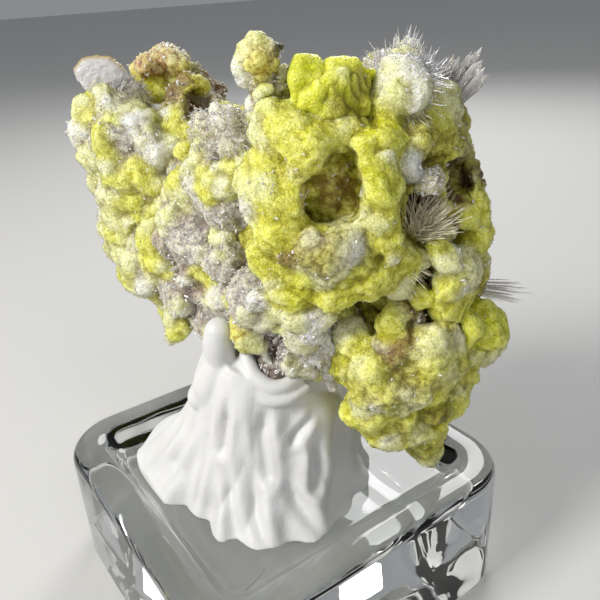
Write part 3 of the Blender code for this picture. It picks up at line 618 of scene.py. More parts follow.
collar = {  # the large front mass with the round pocket
    "heart": (8.0, -1.0, 36.5), "coreKind": "olive", "blend": 0.22, "step": 0.18, "wander": 0.9,
    "backLumps": 110, "seed": 11, "smalls": (420, 0.3, 0.75, 0.45),
    "core": [
        (8.0, -2.0, 38.0, 5.6), (10.0, -1.0, 32.0, 5.0), (5.7, -1.5, 42.0, 4.0), (4.0, -1.0, 34.0, 5.2),
        (12.3, 0.4, 40.2, 3.8), (13.0, 0.0, 34.0, 4.6), (11.0, 1.0, 44.0, 3.0), (7.0, 2.5, 36.0, 6.0),
        (5.5, -3.8, 40.0, 3.4), (9.0, -4.0, 34.0, 3.4), (3.5, -4.4, 33.5, 3.2), (12.6, -3.4, 38.0, 2.8),
        (9.5, -4.0, 43.0, 2.6), (4.8, -4.2, 44.0, 2.4), (4.0, 3.5, 41.0, 4.6), (15.0, -2.6, 31.0, 3.2),
    ],
    "lumps": [
        (10.8, -3.0, 45.3, 2.0, "white"), (9.6, -4.4, 44.6, 1.4, "cream"), (11.0, -4.6, 44.0, 1.5, "cream"),
        (11.4, -4.6, 42.6, 1.5, "olive"), (14.0, -2.2, 43.6, 1.9, "cream"), (14.6, 0.6, 44.4, 1.0, "grey"),
        (15.2, 0.6, 42.6, 1.4, "shadedOlive"), (13.3, -3.2, 41.6, 2.0, "olive"), (3.1, -6.8, 43.6, 1.8, "lime"),
        (4.2, -8.0, 42.6, 1.8, "lime"), (1.2, -6.8, 41.0, 1.7, "lime"), (0.5, -7.6, 40.2, 0.9, "cream"),
        (2.7, -8.0, 39.5, 2.0, "lime"), (2.2, -8.0, 37.3, 1.8, "lime"), (6.8, -6.6, 43.4, 1.3, "olive"),
        (9.0, -6.6, 42.4, 1.8, "lemon"), (8.5, -8.0, 40.8, 1.4, "lemon"), (8.7, -8.2, 38.4, 1.4, "lime"),
        (8.9, -8.2, 36.2, 1.5, "lime"), (6.5, -8.4, 36.4, 1.4, "cream"), (4.2, -8.6, 36.2, 1.3, "lime"),
        (10.9, -6.5, 40.9, 0.8, "white"), (11.6, -5.6, 42.2, 1.3, "olive"), (1.3, -7.0, 35.0, 1.7, "lime"),
        (2.8, -7.2, 32.4, 1.9, "lemon"), (5.6, -8.0, 32.8, 1.9, "lime"), (8.1, -8.0, 33.5, 2.0, "lime"),
        (10.2, -7.0, 33.9, 1.6, "lime"), (10.4, -7.6, 31.9, 1.1, "cream"), (16.2, -4.0, 36.8, 1.2, "lime"),
        (16.4, -4.4, 34.6, 1.3, "lime"), (14.8, -6.0, 32.4, 1.9, "cream"), (14.3, -6.2, 30.0, 1.8, "lime"),
        (17.6, -4.8, 27.1, 2.0, "lemon"), (17.8, -4.6, 24.9, 1.6, "cream"), (9.4, -7.0, 28.5, 1.2, "lime"),
        (1.8, -4.2, 27.0, 2.2, "ice"), (4.4, -5.0, 26.6, 1.6, "ice"), (0.0, -4.2, 30.4, 2.6, "grey"),
        (-1.7, -5.0, 28.7, 0.6, "lime"), (-1.2, -5.0, 27.6, 0.6, "cream"), (-1.1, -5.0, 26.5, 0.5, "white"),
        (1.0, -5.0, 25.9, 1.0, "smoke"), (0.2, -5.0, 24.8, 0.6, "smoke"), (1.8, -6.0, 27.2, 0.7, "smoke"),
        (2.5, -6.6, 27.9, 0.4, "white"), (1.7, -6.2, 28.5, 0.6, "lime"), (1.2, -6.8, 30.3, 0.7, "cream"),
        (0.6, -6.4, 29.2, 0.6, "white"), (3.1, -6.6, 30.0, 0.8, "white"), (4.0, -6.2, 28.8, 0.9, "ice"),
        (4.7, -6.2, 27.6, 0.8, "white"), (3.8, -5.8, 26.4, 0.8, "grey"), (5.4, -5.8, 29.0, 0.7, "smoke"),
        (6.2, -5.2, 29.1, 0.9, "smoke"), (7.0, -5.0, 28.0, 0.8, "smoke"), (3.1, -5.4, 25.8, 0.6, "lime"),
        (4.9, -5.8, 25.8, 0.6, "white"), (4.4, -4.8, 23.5, 0.7, "grey"), (0.0, -5.2, 27.5, 0.6, "grey"),
        (3.1, -6.4, 28.3, 0.6, "grey"), (2.2, -5.6, 26.1, 0.6, "mauve"), (15.1, -3.2, 39.1, 0.6, "brown"),
        (14.0, -4.6, 38.2, 0.6, "umber"), (14.7, -4.6, 37.4, 0.6, "brown"), (15.0, -2.6, 41.0, 0.7, "shadedOlive"),
        (13.9, -4.0, 40.5, 0.7, "shadedOlive"), (6.1, -7.4, 43.7, 0.4, "cream"), (5.2, -7.4, 44.7, 0.5, "cream"),
        (3.0, -8.8, 35.9, 0.4, "brown"), (3.6, -8.9, 35.4, 0.5, "umber"), (4.3, -9.0, 35.7, 0.4, "brown"),
        (5.1, -9.0, 36.0, 0.4, "pit"), (2.6, -8.6, 36.2, 0.3, "pit"), (3.9, -9.0, 36.2, 0.4, "pit"),
        (4.7, -8.9, 35.0, 0.4, "brown"), (5.7, -9.2, 35.4, 0.4, "white"), (6.2, -9.2, 35.8, 0.4, "white"),
        (5.4, -9.2, 34.7, 0.4, "cream"), (3.2, -8.6, 34.4, 0.6, "lime"), (2.1, -8.2, 34.8, 0.6, "lemon"),
        (6.5, -9.4, 34.5, 0.6, "lemon"), (7.5, -9.2, 34.8, 0.6, "olive"), (0.9, -4.8, 23.7, 0.7, "smoke"),
        (1.6, -5.2, 24.8, 0.6, "smoke"), (0.1, -5.2, 25.9, 0.5, "white"), (3.4, -6.8, 27.8, 0.5, "white"),
        (5.6, -6.0, 27.3, 0.6, "white"), (2.4, -7.0, 29.7, 0.5, "white"), (4.4, -6.8, 30.3, 0.5, "white"),
        (-1.1, -4.8, 29.5, 0.5, "white"), (-0.4, -5.4, 26.8, 0.4, "lime"), (5.4, -9.6, 39.1, 0.3, "cream"),
        (4.9, -9.4, 38.3, 0.5, "lime"), (7.2, -9.4, 38.4, 0.4, "cream"), (6.5, -9.4, 38.0, 0.5, "cream"),
        (1.4, -8.6, 40.3, 0.4, "white"), (0.3, -7.6, 38.9, 0.6, "white"), (0.8, -8.0, 38.3, 0.4, "cream"),
        (-0.1, -7.0, 40.3, 0.5, "cream"), (2.8, -9.2, 39.0, 0.5, "lime"), (2.4, -8.8, 37.5, 0.6, "lemon"),
        (1.4, -8.2, 37.0, 0.4, "olive"), (3.5, -8.8, 41.4, 0.4, "olive"), (1.0, -6.8, 44.4, 0.4, "cream"),
        (1.1, -7.2, 43.2, 0.4, "cream"), (1.7, -6.8, 45.3, 0.4, "cream"), (4.8, -8.2, 42.5, 0.5, "cream"),
        (5.7, -7.8, 43.1, 0.5, "olive"), (7.1, -7.4, 43.3, 0.4, "olive"), (8.4, -7.6, 43.1, 0.6, "lemon"),
        (8.0, -8.2, 42.4, 0.5, "cream"), (9.1, -8.2, 41.6, 0.4, "white"), (9.6, -8.2, 39.9, 0.5, "cream"),
        (8.0, -8.8, 39.8, 0.4, "white"), (8.4, -9.0, 37.6, 0.5, "cream"), (9.3, -8.2, 35.4, 0.6, "olive"),
        (10.7, -7.4, 34.7, 0.5, "cream"), (11.5, -7.0, 33.7, 0.5, "white"), (14.1, -3.4, 43.6, 0.6, "cream"),
        (13.4, -4.2, 43.0, 0.6, "lime"), (12.4, -5.0, 41.6, 0.5, "olive"), (15.1, -2.6, 42.1, 0.5, "shadedOlive"),
        (14.2, -5.6, 35.3, 0.6, "cream"), (13.9, -6.8, 33.9, 0.6, "cream"), (14.4, -6.8, 31.6, 0.6, "lime"),
        (4.4, -9.4, 33.9, 0.6, "cream"), (8.3, -8.8, 32.6, 0.6, "olive"), (1.2, -8.0, 33.3, 0.6, "cream"),
        (0.5, -7.4, 34.5, 0.4, "cream"), (1.8, -8.2, 32.1, 0.5, "cream"), (15.9, -2.8, 39.2, 0.7, "cave"),
        (16.5, -2.8, 38.0, 0.6, "cave"), (15.9, -3.6, 38.9, 0.4, "brown"), (16.4, -3.4, 37.6, 0.5, "brown"),
        (15.2, -3.0, 40.4, 0.4, "brown"), (15.7, -2.6, 39.9, 0.4, "cave"), (13.3, -7.9, 34.0, 0.9, "cream"),
        (14.0, -7.6, 31.6, 0.9, "lime"), (16.1, -6.8, 28.0, 0.9, "lemon"), (15.6, -6.6, 26.3, 0.8, "lemon"),
        (12.3, -6.4, 39.2, 0.4, "stem"), (5.3, -9.8, 36.5, 0.3, "olive"), (2.5, -5.6, 24.6, 0.6, "olive"),
        (3.8, -5.4, 24.2, 0.6, "olive"), (-1.7, -5.4, 28.3, 0.6, "amber"), (-1.3, -5.4, 27.2, 0.6, "cream"),
        (3.6, -7.4, 28.8, 0.7, "ice"), (2.6, -7.6, 29.7, 0.5, "grey"), (4.7, -7.4, 29.8, 0.6, "grey"),
        (5.2, -6.6, 27.4, 0.5, "ice"), (11.5, -5.6, 45.5, 0.7, "cream"), (10.1, -5.0, 47.1, 0.6, "white"),
        (9.6, -5.6, 44.8, 0.7, "lime"), (15.1, -2.2, 44.3, 0.7, "shadedOlive"), (7.9, -8.6, 42.7, 0.5, "lemon"),
        (8.9, -8.2, 43.1, 0.7, "lemon"), (9.6, -8.0, 42.2, 0.5, "lemon"), (8.3, -8.8, 41.4, 0.5, "lemon"),
        (9.0, -8.8, 40.6, 0.5, "lime"), (8.5, -9.2, 39.5, 0.5, "lemon"), (9.1, -8.8, 37.5, 0.5, "lemon"),
        (3.2, -9.2, 33.6, 0.6, "lemon"), (6.7, -8.8, 32.1, 0.6, "lemon"), (10.2, -5.8, 46.3, 0.7, "white"),
        (11.3, -5.9, 46.0, 0.7, "white"), (12.0, -7.4, 30.8, 0.7, "lime"), (2.5, -7.4, 30.7, 0.6, "ice"),
        (3.5, -7.6, 29.9, 0.6, "ice"), (4.3, -7.2, 28.6, 0.6, "ice"), (4.9, -6.6, 26.9, 0.6, "ice"),
        (2.9, -6.8, 27.2, 0.5, "white"), (3.8, -6.2, 25.8, 0.5, "ice"), (0.3, -6.8, 31.2, 0.7, "ice"),
        (-0.8, -6.2, 30.0, 0.5, "white"), (0.7, -6.8, 29.0, 0.5, "cream"), (5.5, -5.6, 24.8, 0.6, "ice"),
        (10.0, -6.0, 46.8, 0.4, "cream"), (11.6, -5.6, 46.4, 0.4, "white"), (10.2, -6.6, 45.7, 0.4, "lime"),
        (11.8, -6.0, 45.5, 0.4, "cream"), (10.5, -5.8, 46.8, 0.5, "white"), (11.3, -5.4, 46.6, 0.4, "white"),
        (10.7, -6.4, 46.1, 0.5, "white"), (10.3, -6.6, 45.6, 0.4, "cream"), (11.2, -6.4, 45.3, 0.5, "white"),
        (15.5, -5.2, 36.2, 0.4, "lime"), (13.0, -7.4, 35.0, 0.6, "lime"), (2.4, -9.4, 35.7, 0.4, "brown"),
        (5.9, -9.6, 35.6, 0.3, "white"), (5.6, -9.6, 35.0, 0.3, "white"), (6.2, -9.6, 36.0, 0.3, "white"),
        (3.5, -9.5, 36.3, 0.4, "brown"), (4.0, -9.7, 36.6, 0.3, "olive"), (4.4, -9.7, 36.2, 0.4, "umber"),
        (4.9, -9.6, 36.3, 0.3, "brown"), (5.3, -9.1, 35.8, 0.4, "olive"), (3.7, -9.7, 35.9, 0.3, "umber"),
        (4.1, -9.5, 35.5, 0.4, "brown"), (4.6, -9.6, 35.6, 0.3, "pit"), (5.2, -7.8, 34.6, 0.4, "umber"),
        (3.5, -9.1, 35.0, 0.3, "olive"), (4.0, -7.3, 33.9, 0.4, "olive"), (4.5, -9.1, 34.8, 0.3, "brown"),
        (3.2, -9.1, 35.6, 0.3, "olive"), (5.0, -8.8, 34.3, 0.3, "brown"), (5.5, -9.8, 34.9, 0.3, "olive"),
        (5.9, -9.5, 35.8, 0.5, "white"), (6.5, -6.1, 34.0, 0.5, "white"), (5.7, -9.6, 35.2, 0.4, "white"),
        (6.6, -9.7, 36.0, 0.4, "white"), (10.7, -3.4, 47.0, 0.6, "white"), (11.6, -3.0, 47.4, 0.6, "white"),
        (10.1, -4.4, 46.5, 0.5, "white"), (11.8, -4.0, 46.5, 0.5, "white"), (9.7, -5.2, 46.0, 0.5, "cream"),
        (11.4, -2.2, 47.8, 0.4, "white"), (11.4, -5.4, 45.7, 0.6, "white"), (10.4, -5.9, 45.4, 0.5, "cream"),
        (10.4, -5.2, 46.9, 0.4, "white"), (11.2, -4.8, 46.9, 0.4, "white"), (10.8, -5.8, 46.3, 0.4, "white"),
        (10.1, -5.8, 46.2, 0.4, "white"), (11.4, -5.4, 46.2, 0.4, "white"), (10.9, -4.0, 47.4, 0.3, "white"),
        (11.2, -6.0, 45.4, 0.4, "white"), (9.8, -6.2, 45.5, 0.3, "white"), (14.6, -6.8, 33.4, 0.7, "lime"),
        (14.3, -7.2, 32.5, 0.6, "cream"), (4.1, -9.8, 36.8, 0.4, "umber"), (4.6, -9.8, 36.4, 0.4, "brown"),
        (5.1, -9.6, 36.6, 0.35, "shadedOlive"), (5.4, -10.0, 36.3, 0.4, "umber"), (4.4, -10.0, 36.0, 0.35, "olive"),
        (4.8, -9.6, 35.8, 0.4, "umber"), (5.3, -9.3, 35.4, 0.4, "brown"), (4.5, -9.7, 35.4, 0.35, "brown"),
        (5.0, -9.1, 35.0, 0.35, "olive"), (5.8, -9.5, 36.4, 0.35, "brown"), (4.0, -9.8, 36.2, 0.35, "brown"),
        (5.7, -9.9, 35.2, 0.35, "olive"),
    ],
    "pockets": [
        (5.5, -9.4, 39.4, 2.0, 2.9, 1.7, "pit"), (6.3, -9.4, 41.0, 1.15, 2.5, 1.5, "pit"),
        (12.4, -7.4, 37.2, 1.5, 2.0, 1.7, "umber"), (15.0, -4.4, 38.9, 1.35, 1.9, 1.5, "cave"),
        (0.9, -6.6, 26.5, 0.85, 1.4, 1.4, "smoke"), (7.1, -8.2, 28.6, 1.8, 1.9, 1.6, "brown"),
        (6.9, -8.8, 30.5, 1.2, 1.3, 0.9, "umber"),
    ],
}
crown = {  # the folded lime piece on top
    "heart": (6.0, -4.4, 45.8), "coreKind": "foldShade", "blend": 0.16, "step": 0.125, "wander": 0.5,
    "backLumps": 0, "seed": 53, "smalls": (24, 0.2, 0.35, 0.4),
    "core": [
        (4.7, -4.9, 46.1, 1.8), (6.8, -4.7, 45.8, 1.9), (8.2, -3.8, 45.0, 1.8), (5.6, -5.2, 45.8, 2.0),
    ],
    "lumps": [
        (3.8, -6.2, 47.7, 0.7, "fold"), (3.8, -6.5, 46.8, 0.8, "fold"), (4.0, -6.8, 45.9, 0.7, "fold"),
        (4.7, -6.3, 47.4, 0.6, "fold"), (4.7, -6.9, 46.5, 0.6, "fold"), (5.6, -6.0, 47.5, 0.7, "fold"),
        (5.6, -6.8, 46.7, 0.5, "fold"), (6.6, -5.8, 47.6, 0.7, "fold"), (6.6, -6.7, 46.8, 0.6, "fold"),
        (7.4, -5.6, 47.3, 0.7, "fold"), (7.4, -6.3, 46.4, 0.7, "foldShade"), (4.3, -7.4, 45.5, 0.5, "lemon"),
        (6.1, -7.0, 45.7, 0.7, "foldShade"), (7.1, -6.5, 45.5, 0.9, "foldShade"),
        (8.1, -5.7, 45.6, 0.7, "foldShade"), (8.4, -5.0, 46.6, 0.6, "fold"), (5.7, -7.5, 45.2, 0.3, "cream"),
        (5.5, -7.2, 45.9, 0.6, "fold"), (5.0, -7.3, 45.6, 0.5, "fold"), (5.1, -7.2, 46.3, 0.5, "fold"),
        (6.0, -7.2, 46.4, 0.5, "fold"), (6.9, -7.0, 46.1, 0.5, "fold"), (6.5, -7.2, 45.3, 0.6, "foldShade"),
        (7.6, -6.6, 44.9, 0.6, "foldShade"), (5.4, -7.4, 45.1, 0.5, "lemon"), (3.8, -7.0, 45.3, 0.6, "fold"),
        (5.0, -7.4, 45.0, 0.6, "fold"), (6.1, -7.4, 44.7, 0.6, "foldShade"),
        (7.1, -7.0, 44.6, 0.5, "foldShade"), (5.5, -7.7, 44.5, 0.4, "lemon"),
        (8.1, -6.4, 45.0, 0.5, "lemon"), (4.4, -5.8, 47.6, 0.6, "fold"), (4.9, -5.6, 47.9, 0.4, "fold"),
    ],
    "pockets": [],
}
wing = {  # the mass at the left and behind
    "heart": (-6.0, 6.0, 35.0), "coreKind": "grey", "blend": 0.16, "step": 0.185, "wander": 0.8,
    "backLumps": 110, "seed": 23, "smalls": (1050, 0.25, 0.6, 0.6),
    "core": [
        (-9.0, 7.5, 38.0, 5.0), (-7.0, 6.5, 33.0, 5.2), (-4.0, 4.5, 30.0, 5.2), (-10.0, 7.5, 33.0, 4.2),
        (-3.0, 4.0, 36.5, 5.0), (-6.0, 9.0, 41.0, 3.2), (-7.0, 6.0, 28.0, 4.0), (-2.0, 1.5, 27.0, 4.4),
        (1.0, 1.0, 28.0, 4.6), (-1.0, 1.0, 38.0, 4.4), (0.0, 4.5, 37.0, 4.6), (2.0, 5.4, 33.0, 5.2),
        (2.0, 7.0, 36.5, 4.8), (-9.5, 5.6, 30.0, 3.2), (-11.0, 6.4, 41.0, 3.2),
    ],
    "lumps": [
        (-11.9, 6.8, 44.3, 1.5, "lime"), (-14.1, 6.3, 43.9, 0.9, "cream"), (-14.5, 6.2, 41.8, 1.2, "white"),
        (-13.8, 6.0, 43.0, 0.8, "lime"), (-10.9, 4.6, 43.0, 0.9, "lemon"), (-12.4, 4.2, 42.0, 0.9, "lime"),
        (-12.1, 3.8, 40.9, 0.8, "lemon"), (-12.0, 4.0, 39.7, 0.8, "lemon"), (-11.1, 3.9, 41.8, 0.7, "grey"),
        (-9.7, 5.0, 43.4, 1.0, "cream"), (-9.3, 4.2, 42.4, 1.1, "white"), (-8.8, 3.8, 41.3, 1.1, "white"),
        (-8.1, 3.2, 40.3, 1.0, "white"), (-13.9, 5.5, 39.6, 1.3, "cream"), (-13.6, 6.0, 37.9, 1.3, "cream"),
        (-13.0, 5.0, 37.0, 1.0, "white"), (-11.9, 4.0, 38.6, 0.9, "lemon"), (-11.0, 3.5, 37.9, 1.0, "lime"),
        (-9.7, 3.2, 39.1, 1.1, "lime"), (-8.9, 3.0, 37.9, 1.0, "lime"), (-10.5, 3.5, 36.8, 1.0, "lemon"),
        (-12.0, 4.3, 36.0, 1.0, "lime"), (-10.1, 3.6, 35.4, 0.9, "lime"), (-13.2, 6.4, 35.0, 1.3, "white"),
        (-12.1, 4.8, 34.6, 0.9, "white"), (-12.5, 5.0, 33.3, 1.3, "lime"), (-11.0, 4.0, 34.1, 1.0, "lime"),
        (-8.8, 2.8, 35.4, 0.8, "lemon"), (-7.0, 1.7, 37.8, 0.8, "cream"), (-5.7, 0.8, 38.4, 1.0, "lime"),
        (-4.1, -1.4, 38.9, 0.7, "white"), (-3.0, -2.2, 38.8, 1.3, "lime"), (-7.4, 4.0, 40.8, 0.9, "cream"),
        (-6.5, 4.4, 41.0, 0.8, "lime"), (-5.5, 4.8, 41.4, 0.8, "lime"), (-4.5, 4.6, 41.6, 0.7, "lemon"),
        (-3.3, 2.6, 41.8, 0.8, "lime"), (-7.0, 3.4, 39.5, 0.8, "cream"), (-9.2, 2.4, 33.9, 0.9, "lime"),
        (-11.8, 5.4, 31.6, 1.5, "cream"), (-10.6, 4.0, 32.6, 1.1, "cream"), (-9.6, 2.9, 31.3, 1.0, "lime"),
        (-11.3, 5.8, 29.7, 1.6, "cream"), (-9.3, 3.0, 29.6, 1.0, "cream"), (-7.9, 1.7, 30.8, 0.8, "lemon"),
        (-9.3, 4.0, 27.9, 1.4, "lime"), (-8.2, 2.9, 26.4, 1.0, "cream"), (-8.1, 4.2, 24.2, 1.3, "lime"),
        (-8.6, 3.9, 23.3, 0.7, "white"), (-3.2, 0.6, 33.3, 1.3, "white"), (-4.0, -0.2, 30.5, 0.8, "lime"),
        (-3.7, -1.4, 29.1, 0.8, "white"), (-1.5, -2.4, 26.4, 1.0, "lemon"), (-1.2, -1.9, 25.1, 0.9, "white"),
        (-8.0, 3.1, 36.4, 0.8, "cream"), (-5.5, 0.3, 37.1, 0.9, "cream"), (-7.1, 2.0, 35.1, 0.8, "white"),
        (-6.7, 1.1, 27.6, 0.7, "white"), (-10.0, 6.6, 44.4, 1.0, "wool"), (-4.9, 0.8, 33.6, 2.6, "grey"),
        (-7.0, 2.0, 28.6, 2.0, "grey"), (-9.2, 10.4, 44.9, 1.3, "lime"), (-7.6, 10.8, 45.5, 1.3, "lime"),
        (-6.4, 10.4, 45.0, 1.3, "cream"), (-7.9, 10.4, 43.4, 1.9, "lime"), (-5.6, 10.6, 43.9, 1.4, "amber"),
        (-4.4, 10.6, 43.4, 1.4, "brown"), (-8.3, 10.9, 46.4, 0.9, "pink"), (-9.6, 10.8, 45.8, 0.7, "pink"),
        (-6.6, 11.0, 46.1, 0.9, "pink"), (-5.2, 10.4, 44.9, 1.0, "brown"), (-5.7, 7.6, 42.7, 0.8, "amber"),
        (-5.0, 7.0, 42.0, 0.7, "brown"), (-3.5, 8.6, 43.1, 0.5, "brown"), (-2.1, 6.8, 42.3, 1.0, "olive"),
        (-0.8, 5.6, 42.4, 0.4, "olive"), (-5.9, 0.6, 35.2, 1.3, "mauve"), (-7.3, 1.0, 33.5, 1.2, "mauve"),
        (-5.5, 0.2, 31.8, 1.2, "mauve"), (-6.1, 0.2, 29.7, 1.4, "mauve"), (-7.2, 0.4, 28.2, 1.0, "mauve"),
        (-4.9, -0.6, 28.6, 1.0, "mauve"), (-4.5, -1.0, 26.9, 1.0, "mauve"), (-2.3, -2.2, 32.6, 1.8, "grey"),
        (-1.7, -2.8, 30.3, 1.6, "grey"), (-4.3, -1.0, 33.2, 0.6, "white"), (-2.8, -1.8, 34.6, 0.8, "cream"),
        (-4.6, -0.8, 31.4, 0.7, "lime"), (-4.4, -1.0, 30.4, 0.7, "lime"), (-6.9, 0.4, 36.1, 0.5, "white"),
        (-7.4, 0.8, 35.2, 0.5, "cream"), (-7.0, -0.2, 27.6, 0.6, "white"), (-8.1, 0.4, 26.4, 0.8, "cream"),
        (-7.6, 0.4, 25.3, 0.9, "lime"), (-1.9, -4.2, 30.1, 0.6, "lime"), (-3.6, -2.2, 29.3, 0.6, "white"),
        (0.3, -4.4, 32.6, 0.7, "ice"), (-0.5, -4.2, 29.0, 1.0, "ice"), (-11.5, 3.6, 30.7, 0.9, "cream"),
        (-10.5, 2.6, 28.8, 0.8, "white"), (-8.7, 1.6, 31.4, 0.8, "lime"), (-9.2, 2.0, 32.9, 0.7, "lemon"),
        (-6.3, 7.6, 44.4, 0.6, "brown"), (-5.6, 8.2, 44.8, 0.6, "brown"), (-4.6, 8.2, 44.9, 0.5, "olive"),
        (-4.1, 5.0, 42.0, 0.5, "olive"), (-5.3, 5.4, 42.3, 0.5, "brown"), (-6.1, 6.4, 43.3, 0.6, "brown"),
        (-6.6, 6.8, 43.9, 0.5, "umber"), (-8.0, 9.4, 46.7, 0.4, "pink"), (-7.4, 9.8, 47.0, 0.4, "pink"),
        (-6.8, 9.6, 46.7, 0.4, "pink"), (-6.1, 9.2, 46.4, 0.4, "amber"), (-8.7, 9.2, 46.5, 0.4, "pink"),
        (-11.3, 5.0, 44.5, 0.5, "white"), (-10.6, 4.6, 43.5, 0.5, "white"), (-12.0, 5.4, 45.1, 0.5, "cream"),
        (-3.3, -0.4, 42.7, 1.0, "wool"), (-1.6, -1.6, 43.3, 1.0, "wool"), (-2.7, -1.8, 41.6, 1.0, "wool"),
        (-0.9, -2.9, 41.8, 0.9, "wool"), (-3.9, -1.2, 40.8, 0.6, "cream"), (-3.5, -1.9, 40.0, 0.6, "lime"),
        (-2.3, -3.0, 40.2, 0.7, "cream"), (-1.1, -3.6, 40.2, 0.7, "lime"), (-1.8, -3.4, 39.1, 0.6, "cream"),
        (-3.0, -2.6, 39.1, 0.5, "lime"), (-4.6, -0.8, 39.9, 0.5, "lemon"), (-0.2, -4.0, 40.8, 0.6, "cream"),
        (-5.2, 0.6, 40.9, 0.5, "lime"), (-5.1, 6.2, 44.3, 0.4, "umber"), (-4.5, 5.8, 43.2, 0.5, "brown"),
        (-5.6, 6.0, 43.0, 0.4, "umber"), (-4.9, 5.4, 42.3, 0.5, "olive"), (-6.0, 6.6, 44.1, 0.4, "brown"),
        (-4.0, 5.4, 42.4, 0.4, "brown"),
    ],
    "pockets": [(-4.5, 6.4, 43.4, 1.3, 1.9, 1.5, "brown")],
}
footLobe = {  # the lobe that hangs at the lower right
    "heart": (11.5, -3.2, 23.5), "coreKind": "olive", "blend": 0.3, "step": 0.18, "wander": 1.0,
    "backLumps": 26, "seed": 31, "smalls": (320, 0.25, 0.6, 0.5),
    "core": [
        (11.0, -3.0, 24.0, 3.6), (12.6, -2.6, 21.0, 3.0), (9.0, -3.0, 26.0, 3.2), (13.0, -2.0, 28.0, 3.8),
    ],
    "lumps": [
        (6.8, -6.0, 24.7, 1.7, "lime"), (8.5, -6.0, 20.5, 2.2, "lime"), (9.9, -6.4, 18.5, 1.4, "olive"),
        (11.8, -6.2, 23.4, 2.2, "lime"), (13.3, -6.2, 25.6, 1.8, "cream"), (14.5, -5.0, 21.0, 2.4, "lime"),
        (15.9, -5.0, 23.5, 1.8, "lime"), (12.9, -5.0, 17.8, 1.9, "lime"), (13.3, -5.0, 15.9, 1.1, "olive"),
        (6.4, -5.4, 26.4, 1.4, "grey"), (7.2, -6.6, 27.1, 0.9, "lime"), (6.5, -6.2, 28.0, 0.6, "cream"),
        (9.6, -7.6, 29.2, 0.8, "lime"), (12.3, -7.8, 27.2, 0.7, "white"), (11.3, -7.8, 23.0, 0.8, "cream"),
        (10.4, -7.6, 25.7, 0.7, "lemon"), (7.9, -7.6, 22.5, 0.7, "cream"), (6.8, -7.0, 20.9, 0.6, "lemon"),
        (10.1, -7.0, 17.8, 0.7, "lime"), (11.0, -7.2, 19.9, 0.7, "olive"), (13.5, -6.6, 20.3, 0.7, "olive"),
        (15.0, -6.4, 22.6, 0.7, "shadedOlive"), (16.3, -6.0, 25.4, 0.6, "lemon"), (8.5, -6.8, 24.2, 0.6, "olive"),
        (13.5, -5.2, 15.0, 0.5, "olive"), (13.7, -6.8, 27.8, 0.6, "olive"), (10.5, -6.6, 27.2, 0.5, "shadedOlive"),
        (11.6, -6.2, 28.7, 0.6, "smoke"), (10.8, -6.4, 29.9, 0.5, "brown"), (8.3, -8.0, 24.3, 1.0, "straw"),
        (9.3, -7.8, 21.6, 0.9, "lemon"), (7.6, -7.4, 26.3, 0.8, "lime"), (11.9, -8.0, 24.9, 0.8, "olive"),
        (13.4, -7.6, 22.7, 0.7, "lime"), (6.8, -7.6, 25.0, 0.7, "straw"), (8.7, -8.2, 23.1, 0.7, "straw"),
        (9.8, -8.2, 24.6, 0.6, "olive"), (11.0, -8.2, 26.5, 0.8, "straw"), (12.5, -8.2, 27.3, 0.7, "straw"),
        (8.0, -7.6, 21.2, 0.6, "straw"), (10.5, -8.2, 22.2, 0.6, "straw"), (9.3, -7.4, 27.1, 0.5, "brown"),
        (10.2, -6.8, 28.1, 0.5, "brown"), (14.0, -7.6, 24.5, 0.6, "olive"), (12.0, -7.0, 18.1, 0.7, "straw"),
        (13.4, -6.2, 17.0, 0.6, "shadedOlive"), (15.7, -6.4, 23.7, 0.6, "olive"), (14.6, -7.2, 27.1, 0.6, "cream"),
        (6.4, -7.6, 26.5, 0.5, "lime"), (7.2, -8.2, 23.9, 0.5, "olive"), (8.5, -8.8, 25.6, 0.5, "lime"),
        (7.7, -8.2, 25.9, 0.5, "cream"), (9.6, -8.6, 23.6, 0.5, "olive"), (10.7, -8.6, 24.3, 0.5, "shadedOlive"),
        (9.4, -8.2, 26.3, 0.5, "brown"), (10.3, -8.0, 27.3, 0.5, "brown"), (12.8, -8.4, 26.0, 0.5, "lime"),
        (11.9, -8.6, 23.5, 0.5, "olive"), (11.3, -8.0, 20.9, 0.5, "lime"), (13.8, -7.4, 20.7, 0.6, "shadedOlive"),
        (14.9, -7.6, 25.6, 0.5, "shadedOlive"),
    ],
    "pockets": [],
}
finger = {  # the small stem that stands behind the crown
    "heart": (1.6, -5.7, 46.6), "coreKind": "stem", "blend": 0.1, "step": 0.12, "wander": 0.4,
    "backLumps": 0, "seed": 41, "smalls": (80, 0.16, 0.32, 0.4),
    "core": [(1.2, -5.9, 48.2, 0.8), (1.5, -5.7, 46.4, 0.5)],
    "lumps": [
        (0.3, -6.0, 48.5, 0.7, "cream"), (1.1, -6.0, 49.0, 0.7, "cream"), (1.8, -6.0, 48.7, 0.6, "cream"),
        (0.0, -6.0, 47.7, 0.5, "white"), (0.4, -6.0, 47.1, 0.5, "white"), (1.2, -6.5, 48.1, 0.7, "amber"),
        (1.8, -6.3, 48.1, 0.5, "amber"), (1.3, -6.2, 47.3, 0.5, "amber"), (2.3, -6.4, 48.7, 0.4, "dark"),
        (3.0, -5.8, 48.4, 0.2, "dark"), (1.4, -5.8, 46.6, 0.6, "stem"), (1.5, -5.6, 45.9, 0.7, "stem"),
        (1.8, -5.4, 45.2, 0.7, "stem"), (2.0, -5.2, 44.4, 0.7, "stem"), (2.1, -5.0, 43.6, 0.7, "stem"),
        (1.7, -6.9, 46.4, 0.3, "lemon"), (1.2, -6.8, 46.0, 0.3, "cream"), (2.6, -5.6, 46.5, 0.3, "stem"),
        (2.7, -5.6, 47.1, 0.3, "stem"), (1.1, -5.2, 48.5, 0.9, "amber"),
    ],
    "pockets": [],
}
growth = {"collar": collar, "crown": crown, "wing": wing, "foot_lobe": footLobe, "finger": finger}

